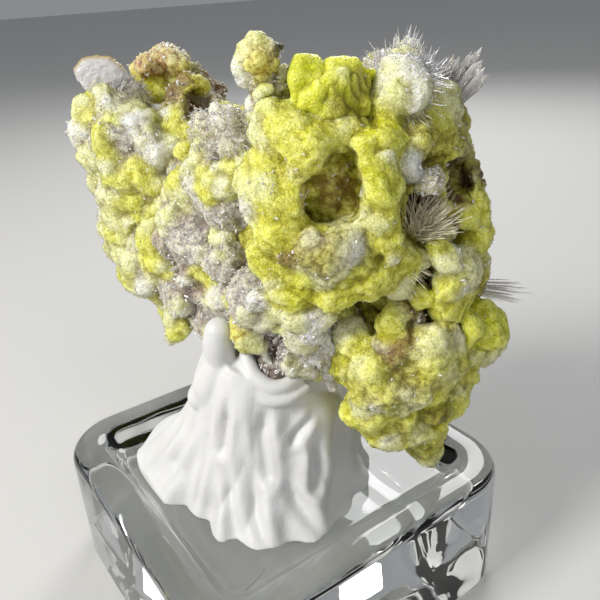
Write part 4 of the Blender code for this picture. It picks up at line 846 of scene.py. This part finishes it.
backs = {  # lumps over the side that faces away, and how far back they start and end (1 to -1)
    "sizes": (0.8, 1.8), "reach": (0.98, -0.22), "jitter": 0.25, "sunk": 0.45,
    "kinds": ["lime", "cream", "lemon", "cream", "lime", "lime", "grey", "olive", "lime", "white"],
    "sideKinds": 5, "sidesFrom": 0.3,  # from here on only the first kinds grow
}
smalls = {  # how far the shades of small lumps vary, how deep they may lie, and those of an own kind
    "shades": (0.8, 1.25), "brightest": 0.9, "deepest": -0.15, "strangers": 0.28,
    "kinds": ["lime", "cream", "lemon", "white", "cream", "white"],
}
crust = {
    "tintBlend": 0.16, "rounds": 2, "wander": [(2.6, 0.42), (1.2, 0.26), (0.6, 0.12)],  # size and shift in mm
    "popcorn": [(1.0, 0.30, 5), (0.5, 0.20, 9), (0.28, 0.10, 13)],  # size, height and seed of each relief
    "crystals": [(0.5, 0.20, 15), (0.27, 0.12, 17)], "folds": (1.0, 0.6, 7), "pits": (1.25, 1.1, 23),
    "raggedRim": 0.22, "rags": [(1.1, 1.0, 41), (0.5, 0.6, 42)],  # size, share, seed, as in the next two
    "mottles": [(1.3, 0.14, 51), (0.4, 0.10, 52)], "patches": [(1.7, 1.0, 53), (0.7, 0.7, 54)],
    "liningEdge": (0.02, 0.13), "liningDepth": (0.05, 0.6), "liningCalm": 0.6,  # start, over how far
    # the hollow and tip settings below paint shade into hollows and highlights onto tips
    "wideHollow": (60, 0.42, 0.45), "nearHollow": (5, 0.06, 0.55),  # rounds of blur, full depth, share
    "shadeKept": (0.62, 0.56, 0.14), "shadeKeptWhite": (0.0, 0.0, 0.42),  # painted shade: what hollows keep of each channel, more if white
    "ripeShare": (0.15, 0.15, 0.5), "palePatch": 0.35,  # how much darker and paler patches of the skin are
    "tipHighlight": 0.65, "paleTip": 0.92, "paleBlue": (0.22, 0.73),  # painted highlight on tips: how far, how pale, how blue
}


def traitsOf(kind):
    # three numbers of colour and four of habit
    return np.concatenate([linear(kinds[kind][0]), kinds[kind][1:]])


def gapsTo(points, balls):
    # how far outside each ball each point lies: |p - c| - r
    squares = (points**2).sum(1)[:, None] + (balls[:, :3] ** 2).sum(1) - 2 * points @ balls[:, :3].T
    return np.sqrt(np.maximum(squares, 0)) - balls[:, 3]


def inChunks(work, rows, size=5000):
    # runs the work on a few thousand rows at a time, to keep the tables small
    return np.concatenate([work(rows[start:start + size]) for start in range(0, len(rows), size)])


def nearestGap(points, balls):
    # how far outside the nearest ball each point lies
    return inChunks(lambda rows: gapsTo(rows, balls).min(axis=1), points)


def outerReach(directions, heart, balls):
    # how far from the heart each direction leaves the last ball it meets
    middle = balls[:, :3] - heart
    along = directions @ middle.T
    halfChord = balls[:, 3] ** 2 - (middle**2).sum(1) + along**2
    return np.where(halfChord > 0, along + np.sqrt(np.maximum(halfChord, 0)), 0).max(axis=1)


def blendedTraits(points, balls, traits):
    # each ball's traits, weighed by e^(-gap / tintBlend)
    gaps = gapsTo(points, balls)
    share = np.exp((gaps.min(axis=1, keepdims=True) - gaps) / crust["tintBlend"])
    return share @ traits / share.sum(axis=1, keepdims=True)


def backBalls(plan, rng):
    # seeded lumps over the side that faces away, an even spiral of them round the heart, and the kind of each
    count = plan["backLumps"]
    turn = pi * (3 - 5**0.5) * np.arange(count) + rng.uniform(-backs["jitter"], backs["jitter"], count)
    towardsBack = np.linspace(*backs["reach"], count)
    ring = np.sqrt(1 - towardsBack**2)
    directions = np.column_stack([ring * np.cos(turn), towardsBack, ring * np.sin(turn)])
    radius = rng.uniform(*backs["sizes"], count)
    heart = np.array(plan["heart"])
    out = outerReach(directions, heart, np.array(plan["core"])) - backs["sunk"] * radius
    centres = heart + directions * out[:, None]
    last = np.where(towardsBack < backs["sidesFrom"], backs["sideKinds"], len(backs["kinds"]))
    return np.column_stack([centres, radius]), [backs["kinds"][n] for n in rng.integers(0, last)]


def smallBalls(plan, balls, traits, rng):
    # small lumps on the skin of the big ones, none of them buried; most have the traits of their place
    count, smallest, largest, standing = plan["smalls"]
    tries = 4 * count
    bearer = rng.integers(0, len(balls), tries)
    ways = unit(rng.normal(size=(tries, 3)))
    spots = balls[bearer, :3] + ways * balls[bearer, 3:]
    gaps = gapsTo(spots, balls)
    gaps[np.arange(tries), bearer] = np.inf
    outside = np.nonzero(gaps.min(axis=1) > smalls["deepest"])[0][:count]
    size = rng.uniform(smallest, largest, len(outside))
    centres = spots[outside] - ways[outside] * (size * (1 - standing))[:, None]
    trait = blendedTraits(centres, balls, traits)
    shade = rng.uniform(*smalls["shades"], (len(size), 1))
    trait[:, :3] = np.clip(trait[:, :3] * shade, 0, smalls["brightest"])
    drawn = rng.integers(0, len(smalls["kinds"]), len(size))
    strangers = np.array([traitsOf(smalls["kinds"][n]) for n in drawn])
    trait = np.where(rng.random((len(size), 1)) < smalls["strangers"], strangers, trait)
    return np.column_stack([centres, size]), trait


def seededBalls(plan):
    # the core and the placed lumps, the back lumps and the small ones: a ball and its traits in each row
    rng = np.random.default_rng(plan["seed"])
    back, drawn = backBalls(plan, rng)
    balls = np.vstack([np.array(plan["core"]), np.array([row[:4] for row in plan["lumps"]]), back])
    named = [plan["coreKind"]] * len(plan["core"]) + [row[4] for row in plan["lumps"]] + drawn
    traits = np.array([traitsOf(kind) for kind in named])
    small, smallTraits = smallBalls(plan, balls, traits, rng)
    return np.vstack([balls, small]), np.vstack([traits, smallTraits])


def unionField(balls, blend, step):
    # on a grid, the gap to the balls' smooth union: -blend ln(sum of e^(-gap / blend)), each ball in its box
    margin, reach = 0.8, 5 * blend
    low = (balls[:, :3] - balls[:, 3:]).min(axis=0) - margin
    counts = ((balls[:, :3] + balls[:, 3:]).max(axis=0) + margin - low) // step + 1
    axes = [low[n] + step * np.arange(counts[n]) for n in range(3)]
    total = np.zeros(counts.astype(int), np.float32)
    for *middle, radius in balls:
        first = np.maximum((middle - low - radius - reach) // step, 0).astype(int)
        last = ((middle - low + radius + reach) // step + 2).astype(int)
        window = tuple(slice(a, b) for a, b in zip(first, last))
        x, y, z = (axes[n][window[n]] - middle[n] for n in range(3))
        gap = np.sqrt((x**2)[:, None, None] + (y**2)[:, None] + z**2) - radius
        total[window] += np.exp(-gap / blend)
    return low, axes, -blend * np.log(np.maximum(total, 1e-12))


def pocketGap(points, pocket):
    # how far outside a hollow with flat-sided, rounded walls: (fourth-power distance over its half sizes - 1)
    # x the smallest half size, and rags
    middle, halfSizes = np.array(pocket[:3]), np.array(pocket[3:6])
    far = (((points - middle) / halfSizes) ** 4).sum(axis=1) ** 0.25
    return (far - 1) * halfSizes.min() + crust["raggedRim"] * layered(points, crust["rags"])


def carve(field, axes, pocket):
    # takes a hollow out of the field: the larger of the field and minus the hollow's own gap
    middle, reach = np.array(pocket[:3]), 1.5 * np.array(pocket[3:6])
    ends = np.stack([middle - reach, middle + reach], -1)
    window = tuple(slice(*np.searchsorted(axes[n], ends[n])) for n in range(3))
    grid = np.stack(np.meshgrid(*(axes[n][window[n]] for n in range(3)), indexing="ij"), -1)
    gap = pocketGap(grid.reshape(-1, 3), pocket).reshape(grid.shape[:3])
    field[window] = np.maximum(field[window], -gap)


def surfaceNet(field, low, step):
    # the zero level: a point in each cell that it passes, at the mean of the cell's crossed edges, and a quad
    # round each crossed edge of the grid, facing from the negative side to the positive
    cells, crossings, quads = [], [], []
    for axis in range(3):
        ahead = np.moveaxis(field, axis, 0)
        crossed = np.nonzero((ahead[:-1] < 0) != (ahead[1:] < 0))
        first, second = ahead[:-1][crossed], ahead[1:][crossed]
        back = np.argsort([axis] + [n for n in range(3) if n != axis])
        start = np.stack(crossed, -1)[:, back]
        place = start.astype(float)
        place[:, axis] += first / (first - second)
        u, v = np.eye(3, dtype=int)[[(axis + 1) % 3, (axis + 2) % 3]]
        around = np.stack([start, start - u, start - u - v, start - v], 1)
        around = np.where((first < 0)[:, None, None], around, around[:, ::-1])
        cell = np.ravel_multi_index(np.moveaxis(around, 2, 0), field.shape)
        quads.append(cell)
        cells.append(cell.ravel())
        crossings.append(np.repeat(place, 4, axis=0))
    _, index = np.unique(np.concatenate(cells), return_inverse=True)
    crossings = np.concatenate(crossings)
    count = np.bincount(index)
    points = np.stack([np.bincount(index, crossings[:, axis]) for axis in range(3)], -1) / count[:, None]
    return low + step * points, index.reshape(-1, 4)


def mainShell(points, faces):
    # keeps the largest connected skin: labels spread over quads and jump to their label's label till settled
    label = np.arange(len(points))
    while True:
        spread = label.copy()
        np.minimum.at(spread, label[faces].ravel(), np.repeat(label[faces].min(axis=1), 4))
        spread = spread[spread[spread]]
        if (spread == label).all():
            break
        label = spread
    kept = label == np.bincount(label).argmax()
    return points[kept], (np.cumsum(kept) - 1)[faces[kept[faces[:, 0]]]]


def eased(points, faces, rounds):
    # a blurred copy: each point moves to the mean of the middles of its quads, over and over
    corners = faces.ravel()
    count = np.bincount(corners, minlength=len(points))
    for _ in range(rounds):
        middle = np.repeat(points[faces].mean(axis=1), 4, axis=0)
        total = [np.bincount(corners, middle[:, axis], len(count)) for axis in range(3)]
        points = np.stack(total, -1) / count[:, None]
    return points


def relief(base, habit):
    # folds where smooth noise crosses zero, popcorn of knobs at three sizes with pits where slow noise is
    # high, and finer sharp knobs for standing crystals
    folded, grainy, crystalline = habit[:, 0], habit[:, 1], habit[:, 2]
    foldSize, foldHeight, foldSeed = crust["folds"]
    pitSize, pitDepth, pitSeed = crust["pits"]
    drawnUp = base * np.array([1.0, 1.0, 0.4]) + 0.3 * softNoise(base, 1.1, 3)[:, None]
    folds = foldHeight * folded * (np.abs(softNoise(drawnUp, foldSize, foldSeed)) ** 0.6 - 0.6)
    popcorn = sum(height * grains(base, size, seed) for size, height, seed in crust["popcorn"])
    crystals = sum(height * grains(base, size, seed) ** 1.5 for size, height, seed in crust["crystals"])
    pits = pitDepth * np.clip(softNoise(base, pitSize, pitSeed) - 0.42, 0, 1)
    return folds + grainy * (popcorn - pits) + crystalline * crystals - 0.12


def wandering(points):
    # shifts that take the roundness out of the balls: the sum of vector noise of each size times its share
    shifts = [
        share * np.stack([softNoise(points, size, 81 + 7 * n + axis) for axis in range(3)], -1)
        for n, (size, share) in enumerate(crust["wander"])
    ]
    return sum(shifts)


def palerThan(tint):
    # a paler colour of the tint, for pale patches, needle tips and painted highlights: near white, less blue
    # the yellower the tint; dark tints pale less
    strongest = tint.max(axis=1, keepdims=True) + 0.001
    least, more = crust["paleBlue"]
    blue = least + more * tint[:, 2:] / strongest
    pale = crust["paleTip"] * np.concatenate([np.ones_like(blue), np.ones_like(blue), blue], axis=1)
    return tint + np.clip(2.2 * strongest - 0.35, 0, 1) * (pale - tint)


def pocketLining(plan, balls, base, trait, wander):
    # within pockets the traits turn to the pocket's own, the more the deeper, and the skin wanders less
    depth = -nearestGap(base, balls)[:, None]
    (edge, fade), (shallow, deepening) = crust["liningEdge"], crust["liningDepth"]
    for pocket in plan["pockets"]:
        inside = np.clip(1 - (pocketGap(base, pocket) - edge) / fade, 0, 1)[:, None]
        trait += inside * np.clip((depth - shallow) / deepening, 0, 1) * (traitsOf(pocket[6]) - trait)
        wander -= crust["liningCalm"] * inside * wander


def mottledWithPaintedLight(base, points, faces, tint):
    # mottled and patched by noise; painted shade darkens hollows, where the blurred skin lies above a point,
    # and a painted highlight pales tips, where it lies below; returns the tint and how hollow each place is
    normals = vertexNormals(points, faces)
    nearRounds, nearDepth, nearShare = crust["nearHollow"]
    wideRounds, wideDepth, wideShare = crust["wideHollow"]
    near = ((eased(points, faces, nearRounds) - points) * normals).sum(1)
    wide = ((eased(points, faces, wideRounds) - points) * normals).sum(1)
    hollow = wideShare * np.clip(wide / wideDepth, 0, 1) + nearShare * np.clip(near / nearDepth, 0, 1)
    hollow = np.clip(hollow, 0, 1)[:, None]
    tip = np.clip(-near / nearDepth, 0, 1)[:, None]
    tint = tint * (1 + layered(base, crust["mottles"]))[:, None]
    patch = layered(base, crust["patches"])[:, None]
    tint = tint + crust["palePatch"] * np.clip(patch, 0, 1) * (palerThan(tint) - tint)
    whiteness = tint[:, 2:] / (tint.max(axis=1, keepdims=True) + 0.001)
    tint = tint * (1 - np.clip(-patch, 0, 1) * crust["ripeShare"] * (1 - whiteness * [0, 0, 0.8]))
    # painted shade: hollows keep only a share of each channel, least of blue, so they turn darker and more
    # saturated
    deep = np.array(crust["shadeKept"]) + crust["shadeKeptWhite"] * whiteness
    tint = tint * (1 - hollow * (1 - deep))
    # painted highlight: convex tips are paled towards the pale colour
    tint = tint + crust["tipHighlight"] * tip * (palerThan(tint) - tint)
    return np.clip(tint, 0, 1), hollow[:, 0]


def growMass(name, plan):
    # one mass: the balls' smooth union less its pockets, bent by wandering, with relief along its normals
    balls, traits = seededBalls(plan)
    low, axes, field = unionField(balls, plan["blend"], plan["step"])
    for pocket in plan["pockets"]:
        carve(field, axes, pocket)
    base, faces = mainShell(*surfaceNet(field, low, plan["step"]))
    base = eased(base, faces, crust["rounds"])
    trait = inChunks(lambda rows: blendedTraits(rows, balls, traits), base)
    wander = np.full((len(base), 1), plan["wander"])
    pocketLining(plan, balls, base, trait, wander)
    base = base + wander * wandering(base)
    habit = trait[:, 3:]
    points = base + vertexNormals(base, faces) * relief(base, habit)[:, None]
    tint, hollow = mottledWithPaintedLight(base, points, faces, trait[:, :3])
    print("mass grown:", name, len(faces), "quads")
    return {
        "name": name, "points": points, "faces": faces, "balls": balls,
        "tint": tint, "habit": habit, "hollow": hollow,
    }


def clusterPiece(name, points, faces, material, attributes=None, smooth=True):
    # a piece that stands in for the imported cluster, which is hidden
    piece = putMesh(name, points, faces, material, attributes, smooth)
    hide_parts("crystal_cluster")


def buildMasses(material):
    # grows every mass, and returns them for what is sown on them
    masses = [growMass(name, plan) for name, plan in growth.items()]
    for mass in masses:
        clusterPiece("crust_" + mass["name"], mass["points"], mass["faces"], material, {"tint": mass["tint"]})
    return masses


def buriedIn(points, masses, skip):
    # true where a point lies inside one of the other masses
    inside = np.zeros(len(points), bool)
    for mass in masses:
        if mass["name"] != skip:
            inside |= nearestGap(points, mass["balls"]) < -0.1
    return inside


def scatter(mass, masses, count, weight, rng):
    # open places on a mass: quads drawn by area times weight, a random point in each, none of them buried
    faces, points = mass["faces"], mass["points"]
    across = crossedDiagonals(points, faces)
    area = np.linalg.norm(across, axis=1)
    odds = area * weight[faces].mean(axis=1)
    chosen = rng.choice(len(faces), count, p=odds / odds.sum())
    s, t = rng.random((2, count, 1))
    a, b, c, d = (points[faces[chosen, n]] for n in range(4))
    place = (1 - t) * ((1 - s) * a + s * b) + t * ((1 - s) * d + s * c)
    way = across[chosen] / area[chosen][:, None]
    keep = ~buriedIn(place, masses, mass["name"])
    return place[keep], way[keep], faces[chosen[keep], 0]


# Velvet, druse and wool, sown on the masses

velvet = {  # tips sown on each mass, and their lengths
    "collar": (104000, (0.07, 0.26)), "crown": (6000, (0.05, 0.15)), "wing": (90000, (0.06, 0.24)),
    "foot_lobe": (26000, (0.07, 0.26)), "finger": (3000, (0.06, 0.15)),
    "radii": (0.013, 0.028), "sunk": 0.04, "lean": 0.42, "mostInPiece": 48000, "palest": 0.35,
}


def buildVelvet(material, masses):
    # hair-fine crystals all over, each the colour of the crust at its root and paler at its tip
    rng = np.random.default_rng(101)
    atTip = np.array([0.0, 0.0, 0.0, 1.0])[:, None]
    for mass in masses:
        count, lengths = velvet[mass["name"]]
        habit = mass["habit"]
        place, way, corner = scatter(mass, masses, count, 0.02 + habit[:, 3], rng)
        ground = unit(toFrame(way))
        way = unit(way + rng.normal(0, velvet["lean"], way.shape))
        length = lengths[0] + (lengths[1] - lengths[0]) * rng.random(len(place)) ** 2
        length = length * (1 - 0.6 * habit[corner, 0] - 0.4 * mass["hollow"][corner])
        radius = rng.uniform(*velvet["radii"], len(place))
        rootTint = mass["tint"][corner]
        tipTint = rootTint + velvet["palest"] * (palerThan(rootTint) - rootTint)
        root = place - velvet["sunk"] * way
        for part, start in enumerate(range(0, len(place), velvet["mostInPiece"])):
            some = slice(start, start + velvet["mostInPiece"])
            points, faces = spikes(root[some], way[some], length[some], radius[some], rng)
            tint = (rootTint[some, None] * (1 - atTip) + tipTint[some, None] * atTip).reshape(-1, 3)
            traits = {"tint": tint, "ground": np.repeat(ground[some], 4, axis=0)}
            clusterPiece(f"velvet_{mass['name']}_{part + 1}", points, faces, material, traits, smooth=False)
        print("velvet:", mass["name"], len(place), "tips")


druse = {  # short clear points sown on each mass: on the grey and in the pockets, and single glints anywhere
    "collar": (900, 420), "crown": (4, 4), "wing": (1900, 320), "foot_lobe": (100, 130), "finger": (120, 12),
    "lengths": (0.12, 0.34), "glintLengths": (0.1, 0.22), "thickness": 0.36, "sunk": 0.1, "lean": 0.75,
}


def buildDruse(material, masses):
    # five-sided points, sown by how crystalline the crust is, all in one piece
    rng = np.random.default_rng(202)
    pointSets, faceSets, start = [], [], 0
    for mass in masses:
        count, glints = druse[mass["name"]]
        crystalline = np.clip(mass["habit"][:, 2], 0, 1) ** 1.5
        sowings = [(count, 0.002, "lengths"), (glints, 0.12, "glintLengths")]
        for sown, anywhere, lengths in sowings:
            place, way, _ = scatter(mass, masses, sown, anywhere + crystalline, rng)
            way = unit(way + rng.normal(0, druse["lean"], way.shape))
            length = rng.uniform(*druse[lengths], len(place))
            radius, sunk = druse["thickness"] * length, druse["sunk"]
            points, faces = prisms(place - sunk * way, way, length + sunk, radius, 5, 0.7, 0.7, rng)
            pointSets.append(points)
            faceSets.append(faces + start)
            start += len(points)
    clusterPiece("druse_points", np.concatenate(pointSets), np.concatenate(faceSets), material, smooth=False)
    print("druse made")


wool = {  # loose bundles of clear needles: how many are sown, and their sizes
    "count": 900, "lengths": (0.3, 0.8), "radii": (0.02, 0.045), "sunk": 0.1, "lean": 0.7, "bundle": 0.7,
}


def buildWool(material, masses):
    # needles sown where the wool kind shows, leaning together in bundles by smooth noise
    rng = np.random.default_rng(404)
    bearer = next(mass for mass in masses if mass["name"] == "wing")
    balls = np.array([row[:4] for row in wing["lumps"] if row[4] == "wool"])
    near = np.clip(1 - np.abs(gapsTo(bearer["points"], balls).min(axis=1)) / 0.6, 0, 1)
    place, way, _ = scatter(bearer, masses, wool["count"], near + 1e-6, rng)
    together = np.stack([softNoise(place, wool["bundle"], 31 + axis) for axis in range(3)], -1)
    way = unit(way + wool["lean"] * (together + 0.6 * rng.normal(size=way.shape)))
    length = rng.uniform(*wool["lengths"], len(place))
    radius = rng.uniform(*wool["radii"], len(place))
    points, faces = prisms(place - wool["sunk"] * way, way, length, radius, 5, 0.85, 0.8, rng)
    clusterPiece("wool_needles", points, faces, material, smooth=False)
    print("wool made")


# Sprays: look, root, tip of the middle crystal, count, spread in degrees, radius, shortest length share,
# flatness, root scatter, how much shorter the outermost crystals are, and how far roots are strewn wherever
# crystals point

sprays = {
    "top_blades": ("milky", (10.9, -2.6, 45.8), (11.9, -2.0, 49.5), 70, 25, 0.26, 0.7, 0.5, 1.8, 0.6, 0.0),
    "top_fan": ("milky", (10.7, -1.6, 45.6), (11.0, -1.2, 48.6), 160, 44, 0.06, 0.6, 0.8, 1.9, 0.35, 0.0),
    "top_fuzz": ("milky", (10.9, -4.6, 45.9), (10.4, -7.0, 47.0), 520, 78, 0.03, 0.5, 0.8, 1.7, 0.0, 0.8),
    "corner_fan": ("clear", (14.4, -0.8, 43.6), (17.5, 0.1, 47.5), 22, 13, 0.4, 0.72, 0.45, 0.9, 0.25, 0.0),
    "corner_needles": ("clear", (14.4, -0.8, 43.6), (16.8, 0.1, 46.6), 40, 22, 0.09, 0.6, 0.7, 0.9, 0.2, 0.0),
    "side_needles": ("clear", (16.4, -3.2, 29.8), (22.3, -3.0, 28.6), 56, 8, 0.05, 0.5, 0.8, 0.5, 0.2, 0.0),
    "plate_teeth": ("milky", (-10.8, 5.6, 45.2), (-10.2, 5.2, 46.6), 26, 40, 0.1, 0.6, 0.7, 0.6, 0.0, 0.0),
    "pocket_needles": (
        "straw", (12.1, -6.0, 35.9), (12.8, -8.3, 38.4), 340, 34, 0.026, 0.55, 0.8, 1.3, 0.0, 0.7),
    "belt_points": ("clear", (3.3, -5.7, 28.0), (3.2, -7.2, 28.5), 110, 72, 0.26, 0.6, 0.8, 2.4, 0.0, 0.7),
    "belt_chunk": ("clear", (4.6, -4.8, 24.2), (5.4, -6.8, 23.8), 9, 30, 0.4, 0.8, 0.8, 0.7, 0.0, 0.0),
    "wing_points": ("milky", (-3.4, 0.6, 32.0), (-4.2, -1.9, 32.8), 50, 66, 0.2, 0.86, 0.7, 2.6, 0.0, 0.0),
    "low_needles": ("straw", (10.8, -6.4, 33.2), (12.3, -8.4, 32.0), 60, 24, 0.03, 0.6, 0.8, 0.5, 0.0, 0.0),
    "low_point": ("milky", (13.1, -4.9, 17.2), (13.5, -5.2, 14.3), 5, 12, 0.42, 0.8, 0.8, 0.3, 0.0, 0.0),
    "pocket_rim": ("milky", (0.8, -8.6, 39.2), (1.9, -9.9, 41.0), 4, 9, 0.1, 0.7, 0.6, 0.1, 0.0, 0.0),
    "belly_blade": ("milky", (5.4, -8.6, 34.6), (6.2, -10.4, 35.6), 5, 24, 0.11, 0.7, 0.6, 0.2, 0.0, 0.0),
    "back_fan": ("milky", (9.0, 7.0, 41.0), (10.2, 9.8, 44.6), 40, 20, 0.2, 0.6, 0.7, 0.7, 0.3, 0.0),
    "wing_fan": ("milky", (-12.6, 10.6, 33.0), (-15.2, 12.8, 34.0), 36, 18, 0.2, 0.6, 0.7, 0.6, 0.3, 0.0),
}


def sprayCrystals(plan, rng):
    # crystals leaning out from the middle one at random angles up to the spread, from roots close together
    root, tip, count, spread, radius, shortest, flat, rootScatter, drop, strewn = plan[1:]
    axis = np.subtract(tip, root)
    length = np.linalg.norm(axis)
    axis = axis / length
    outwards = np.sqrt(rng.random(count))
    lean = np.tan(radians(spread)) * outwards
    turn = rng.uniform(0, 2 * pi, count)
    side = unit(np.cross(axis, [0.3, 0.5, 0.81]))
    other = np.cross(axis, side)
    aside = lean[:, None] * (np.cos(turn)[:, None] * side + np.sin(turn)[:, None] * other)
    aside[0] = 0
    ways = unit(axis + aside)
    place, around = np.sqrt(rng.random((count, 1))), rng.uniform(0, 2 * pi, (count, 1))
    anywhere = place * (np.cos(around) * side + np.sin(around) * other)
    roots = root + rootScatter * ((1 - strewn) * aside / np.tan(radians(spread)) + strewn * anywhere)
    lengths = length * (shortest + (1 - shortest) * rng.random(count)) * (1 - drop * outwards)
    lengths[0] = length
    return prisms(roots, ways, lengths, radius * rng.uniform(0.6, 1.1, count), 6, 0.86, flat, rng)


def buildSprays(looks):
    # each spray is a piece with one of the glassy looks
    rng = np.random.default_rng(303)
    for name, plan in sprays.items():
        points, faces = sprayCrystals(plan, rng)
        clusterPiece("spray_" + name, points, faces, looks[plan[0]], smooth=False)
    print("sprays made")


plate = {  # one thick tabular crystal: its outline across and up from its middle, and half its thickness
    "middle": (-12.4, 6.0, 46.3), "thickness": 0.75, "columns": 180,
    "profile": [(0.0, 1.0), (0.55, 0.96), (0.72, 0.88), (0.85, 0.66), (0.94, 0.4), (1.0, 0.05)],  # out, thick
    "outline": [(-1.93, 0.63), (-1.05, 1.46), (0.1, 1.59), (1.28, 1.45), (2.13, 0.72), (2.69, -0.32),
                (1.88, -1.3), (0.34, -1.62), (-0.75, -1.32), (-1.2, -1.06), (-1.76, -0.16)],
    "stepSize": 0.9, "step": 0.22, "frostSize": 0.22, "frost": 0.05,
}


def buildPlate(material):
    # the outline drawn in towards the middle while it comes forward: flat face, slanted edge, side; stepped
    # by rounded noise and roughened by frost
    corners = np.array(plate["outline"] + plate["outline"][:1])
    t = np.linspace(0, len(corners) - 1, plate["columns"], endpoint=False)
    corner = t.astype(int)
    rim = corners[corner] + (t % 1)[:, None] * (corners[corner + 1] - corners[corner])
    out = np.concatenate([np.linspace(0.02, 0.9, 22), np.linspace(0.92, 1.0, 5)])
    deep = np.interp(out, *zip(*plate["profile"]))
    shares = np.concatenate([np.column_stack([out, deep]), np.column_stack([out, -deep])[::-1]])
    thickness = plate["thickness"]
    rings = [
        np.column_stack([rim[:, 0] * share, np.full(len(rim), -thickness * depth), rim[:, 1] * share])
        for share, depth in shares
    ]
    points, faces = closedRings(rings, [0, -thickness, 0], [0, thickness, 0])
    steps = np.round(2.5 * softNoise(points * [0.5, 1.0, 1.0], plate["stepSize"], 61)) / 2.5
    points[:, 1] *= 1 + plate["step"] * steps
    points += plate["frost"] * softNoise(points, plate["frostSize"], 62)[:, None]
    edge = np.clip((np.concatenate([np.repeat(shares[:, 0], len(rim)), [0, 0]]) - 0.8) / 0.2, 0, 1)
    gilt = edge * np.clip(points[:, 2] + 0.2, 0, 1)
    clusterPiece("left_plate", points + plate["middle"], faces, material, {"gilt": gilt}, smooth=False)
    print("plate made")


# The studio

studio = {
    "cameraPlace": (3.1, -52.6, 53.0), "pitch": 25.6, "roll": -3.2, "lens": 40.8, "aim": (0.0, 0.0, 32.0),
    "floorSize": 3000.0, "floorHeight": -0.05, "floorColour": "#CFCECB",
    "worldColour": "#E8ECF2", "worldStrength": 0.31,
}
lamps = {  # place, aimed at the cluster, width, power in watts, colour
    "key": ((-200.0, -120.0, 205.0), 110.0, 0.85, "#FFFDF8"),
    "fill": ((110.0, -200.0, 260.0), 120.0, 0.12, "#F4F6FF"),
    "rim": ((60.0, 220.0, 190.0), 140.0, 0.35, "#FFFFFF"),
}


def placed(point):
    # a place in display-frame millimetres as a vector in the object's frame
    return Vector(toFrame(np.array([point]))[0])


def setStage():
    # a matt floor under the block and an even pale sky
    half = studio["floorSize"] / 2
    ends = [(-half, -half), (half, -half), (half, half), (-half, half)]
    corners = np.array([(x, y, studio["floorHeight"]) for x, y in ends])
    mesh = bpy.data.meshes.new("floor")
    mesh.from_pydata(corners * mm, [], [(0, 1, 2, 3)])
    made, tree = newMaterial("matt pale floor")
    matt = {"Base Color": colour(studio["floorColour"]), "Roughness": 0.8}
    shader = addNode(tree, "ShaderNodeBsdfPrincipled", matt)
    addNode(tree, "ShaderNodeOutputMaterial", None, {"Surface": shader.outputs[0]})
    mesh.materials.append(made)
    floor = bpy.data.objects.new("floor", mesh)
    bpy.context.scene.collection.objects.link(floor)
    world = bpy.data.worlds.new("studio")
    world.use_nodes = True
    background = world.node_tree.nodes["Background"]
    background.inputs["Color"].default_value = colour(studio["worldColour"])
    background.inputs["Strength"].default_value = studio["worldStrength"]
    bpy.context.scene.world = world
    bpy.context.scene.view_settings.view_transform = "Standard"


def setLamps():
    # round soft lamps, each turned to look along the line from its place to the aim
    for name, (place, width, power, lampColour) in lamps.items():
        light = bpy.data.lights.new(name, "AREA")
        light.shape = "DISK"
        light.size = width * mm
        light.energy = power
        light.color = tuple(linear(lampColour))
        lamp = bpy.data.objects.new(name, light)
        lamp.location = placed(place)
        lamp.rotation_euler = (placed(studio["aim"]) - lamp.location).to_track_quat("-Z", "Y").to_euler()
        bpy.context.scene.collection.objects.link(lamp)


def setCamera():
    # turned with the display side, pitched down from level, then rolled about its own line of sight
    data = bpy.data.cameras.new("camera")
    data.sensor_width = 36.0
    data.lens = studio["lens"]
    data.clip_start = 0.001
    camera = bpy.data.objects.new("camera", data)
    turned = Matrix.Rotation(displayTurn, 4, "Z") @ Matrix.Rotation(radians(90 - studio["pitch"]), 4, "X")
    place = Matrix.Translation(placed(studio["cameraPlace"]))
    camera.matrix_world = place @ turned @ Matrix.Rotation(radians(studio["roll"]), 4, "Z")
    bpy.context.scene.collection.objects.link(camera)
    bpy.context.scene.camera = camera


setStage()
setLamps()
setCamera()
print("studio set")
buildBlock(blockGlass())
buildPutty(puttyWhite())
grownMasses = buildMasses(creediteCrust())
buildVelvet(creediteVelvet(), grownMasses)
buildDruse(glassyCreedite("frosty creedite points", "#FAF8F4", 0.12, 0.2), grownMasses)
buildSprays({
    "milky": glassyCreedite("milky creedite crystals", "#F8F6F8", 0.08, 0.62),
    "clear": glassyCreedite("clear creedite needles", "#FAF7F4", 0.06, 0.75),
    "straw": glassyCreedite("straw-stained creedite needles", "#FAF2DC", 0.1, 0.1),
})
buildWool(glassyCreedite("clear creedite wool", "#F4F0EE", 0.08, 0.6), grownMasses)
buildPlate(frostedTablet())
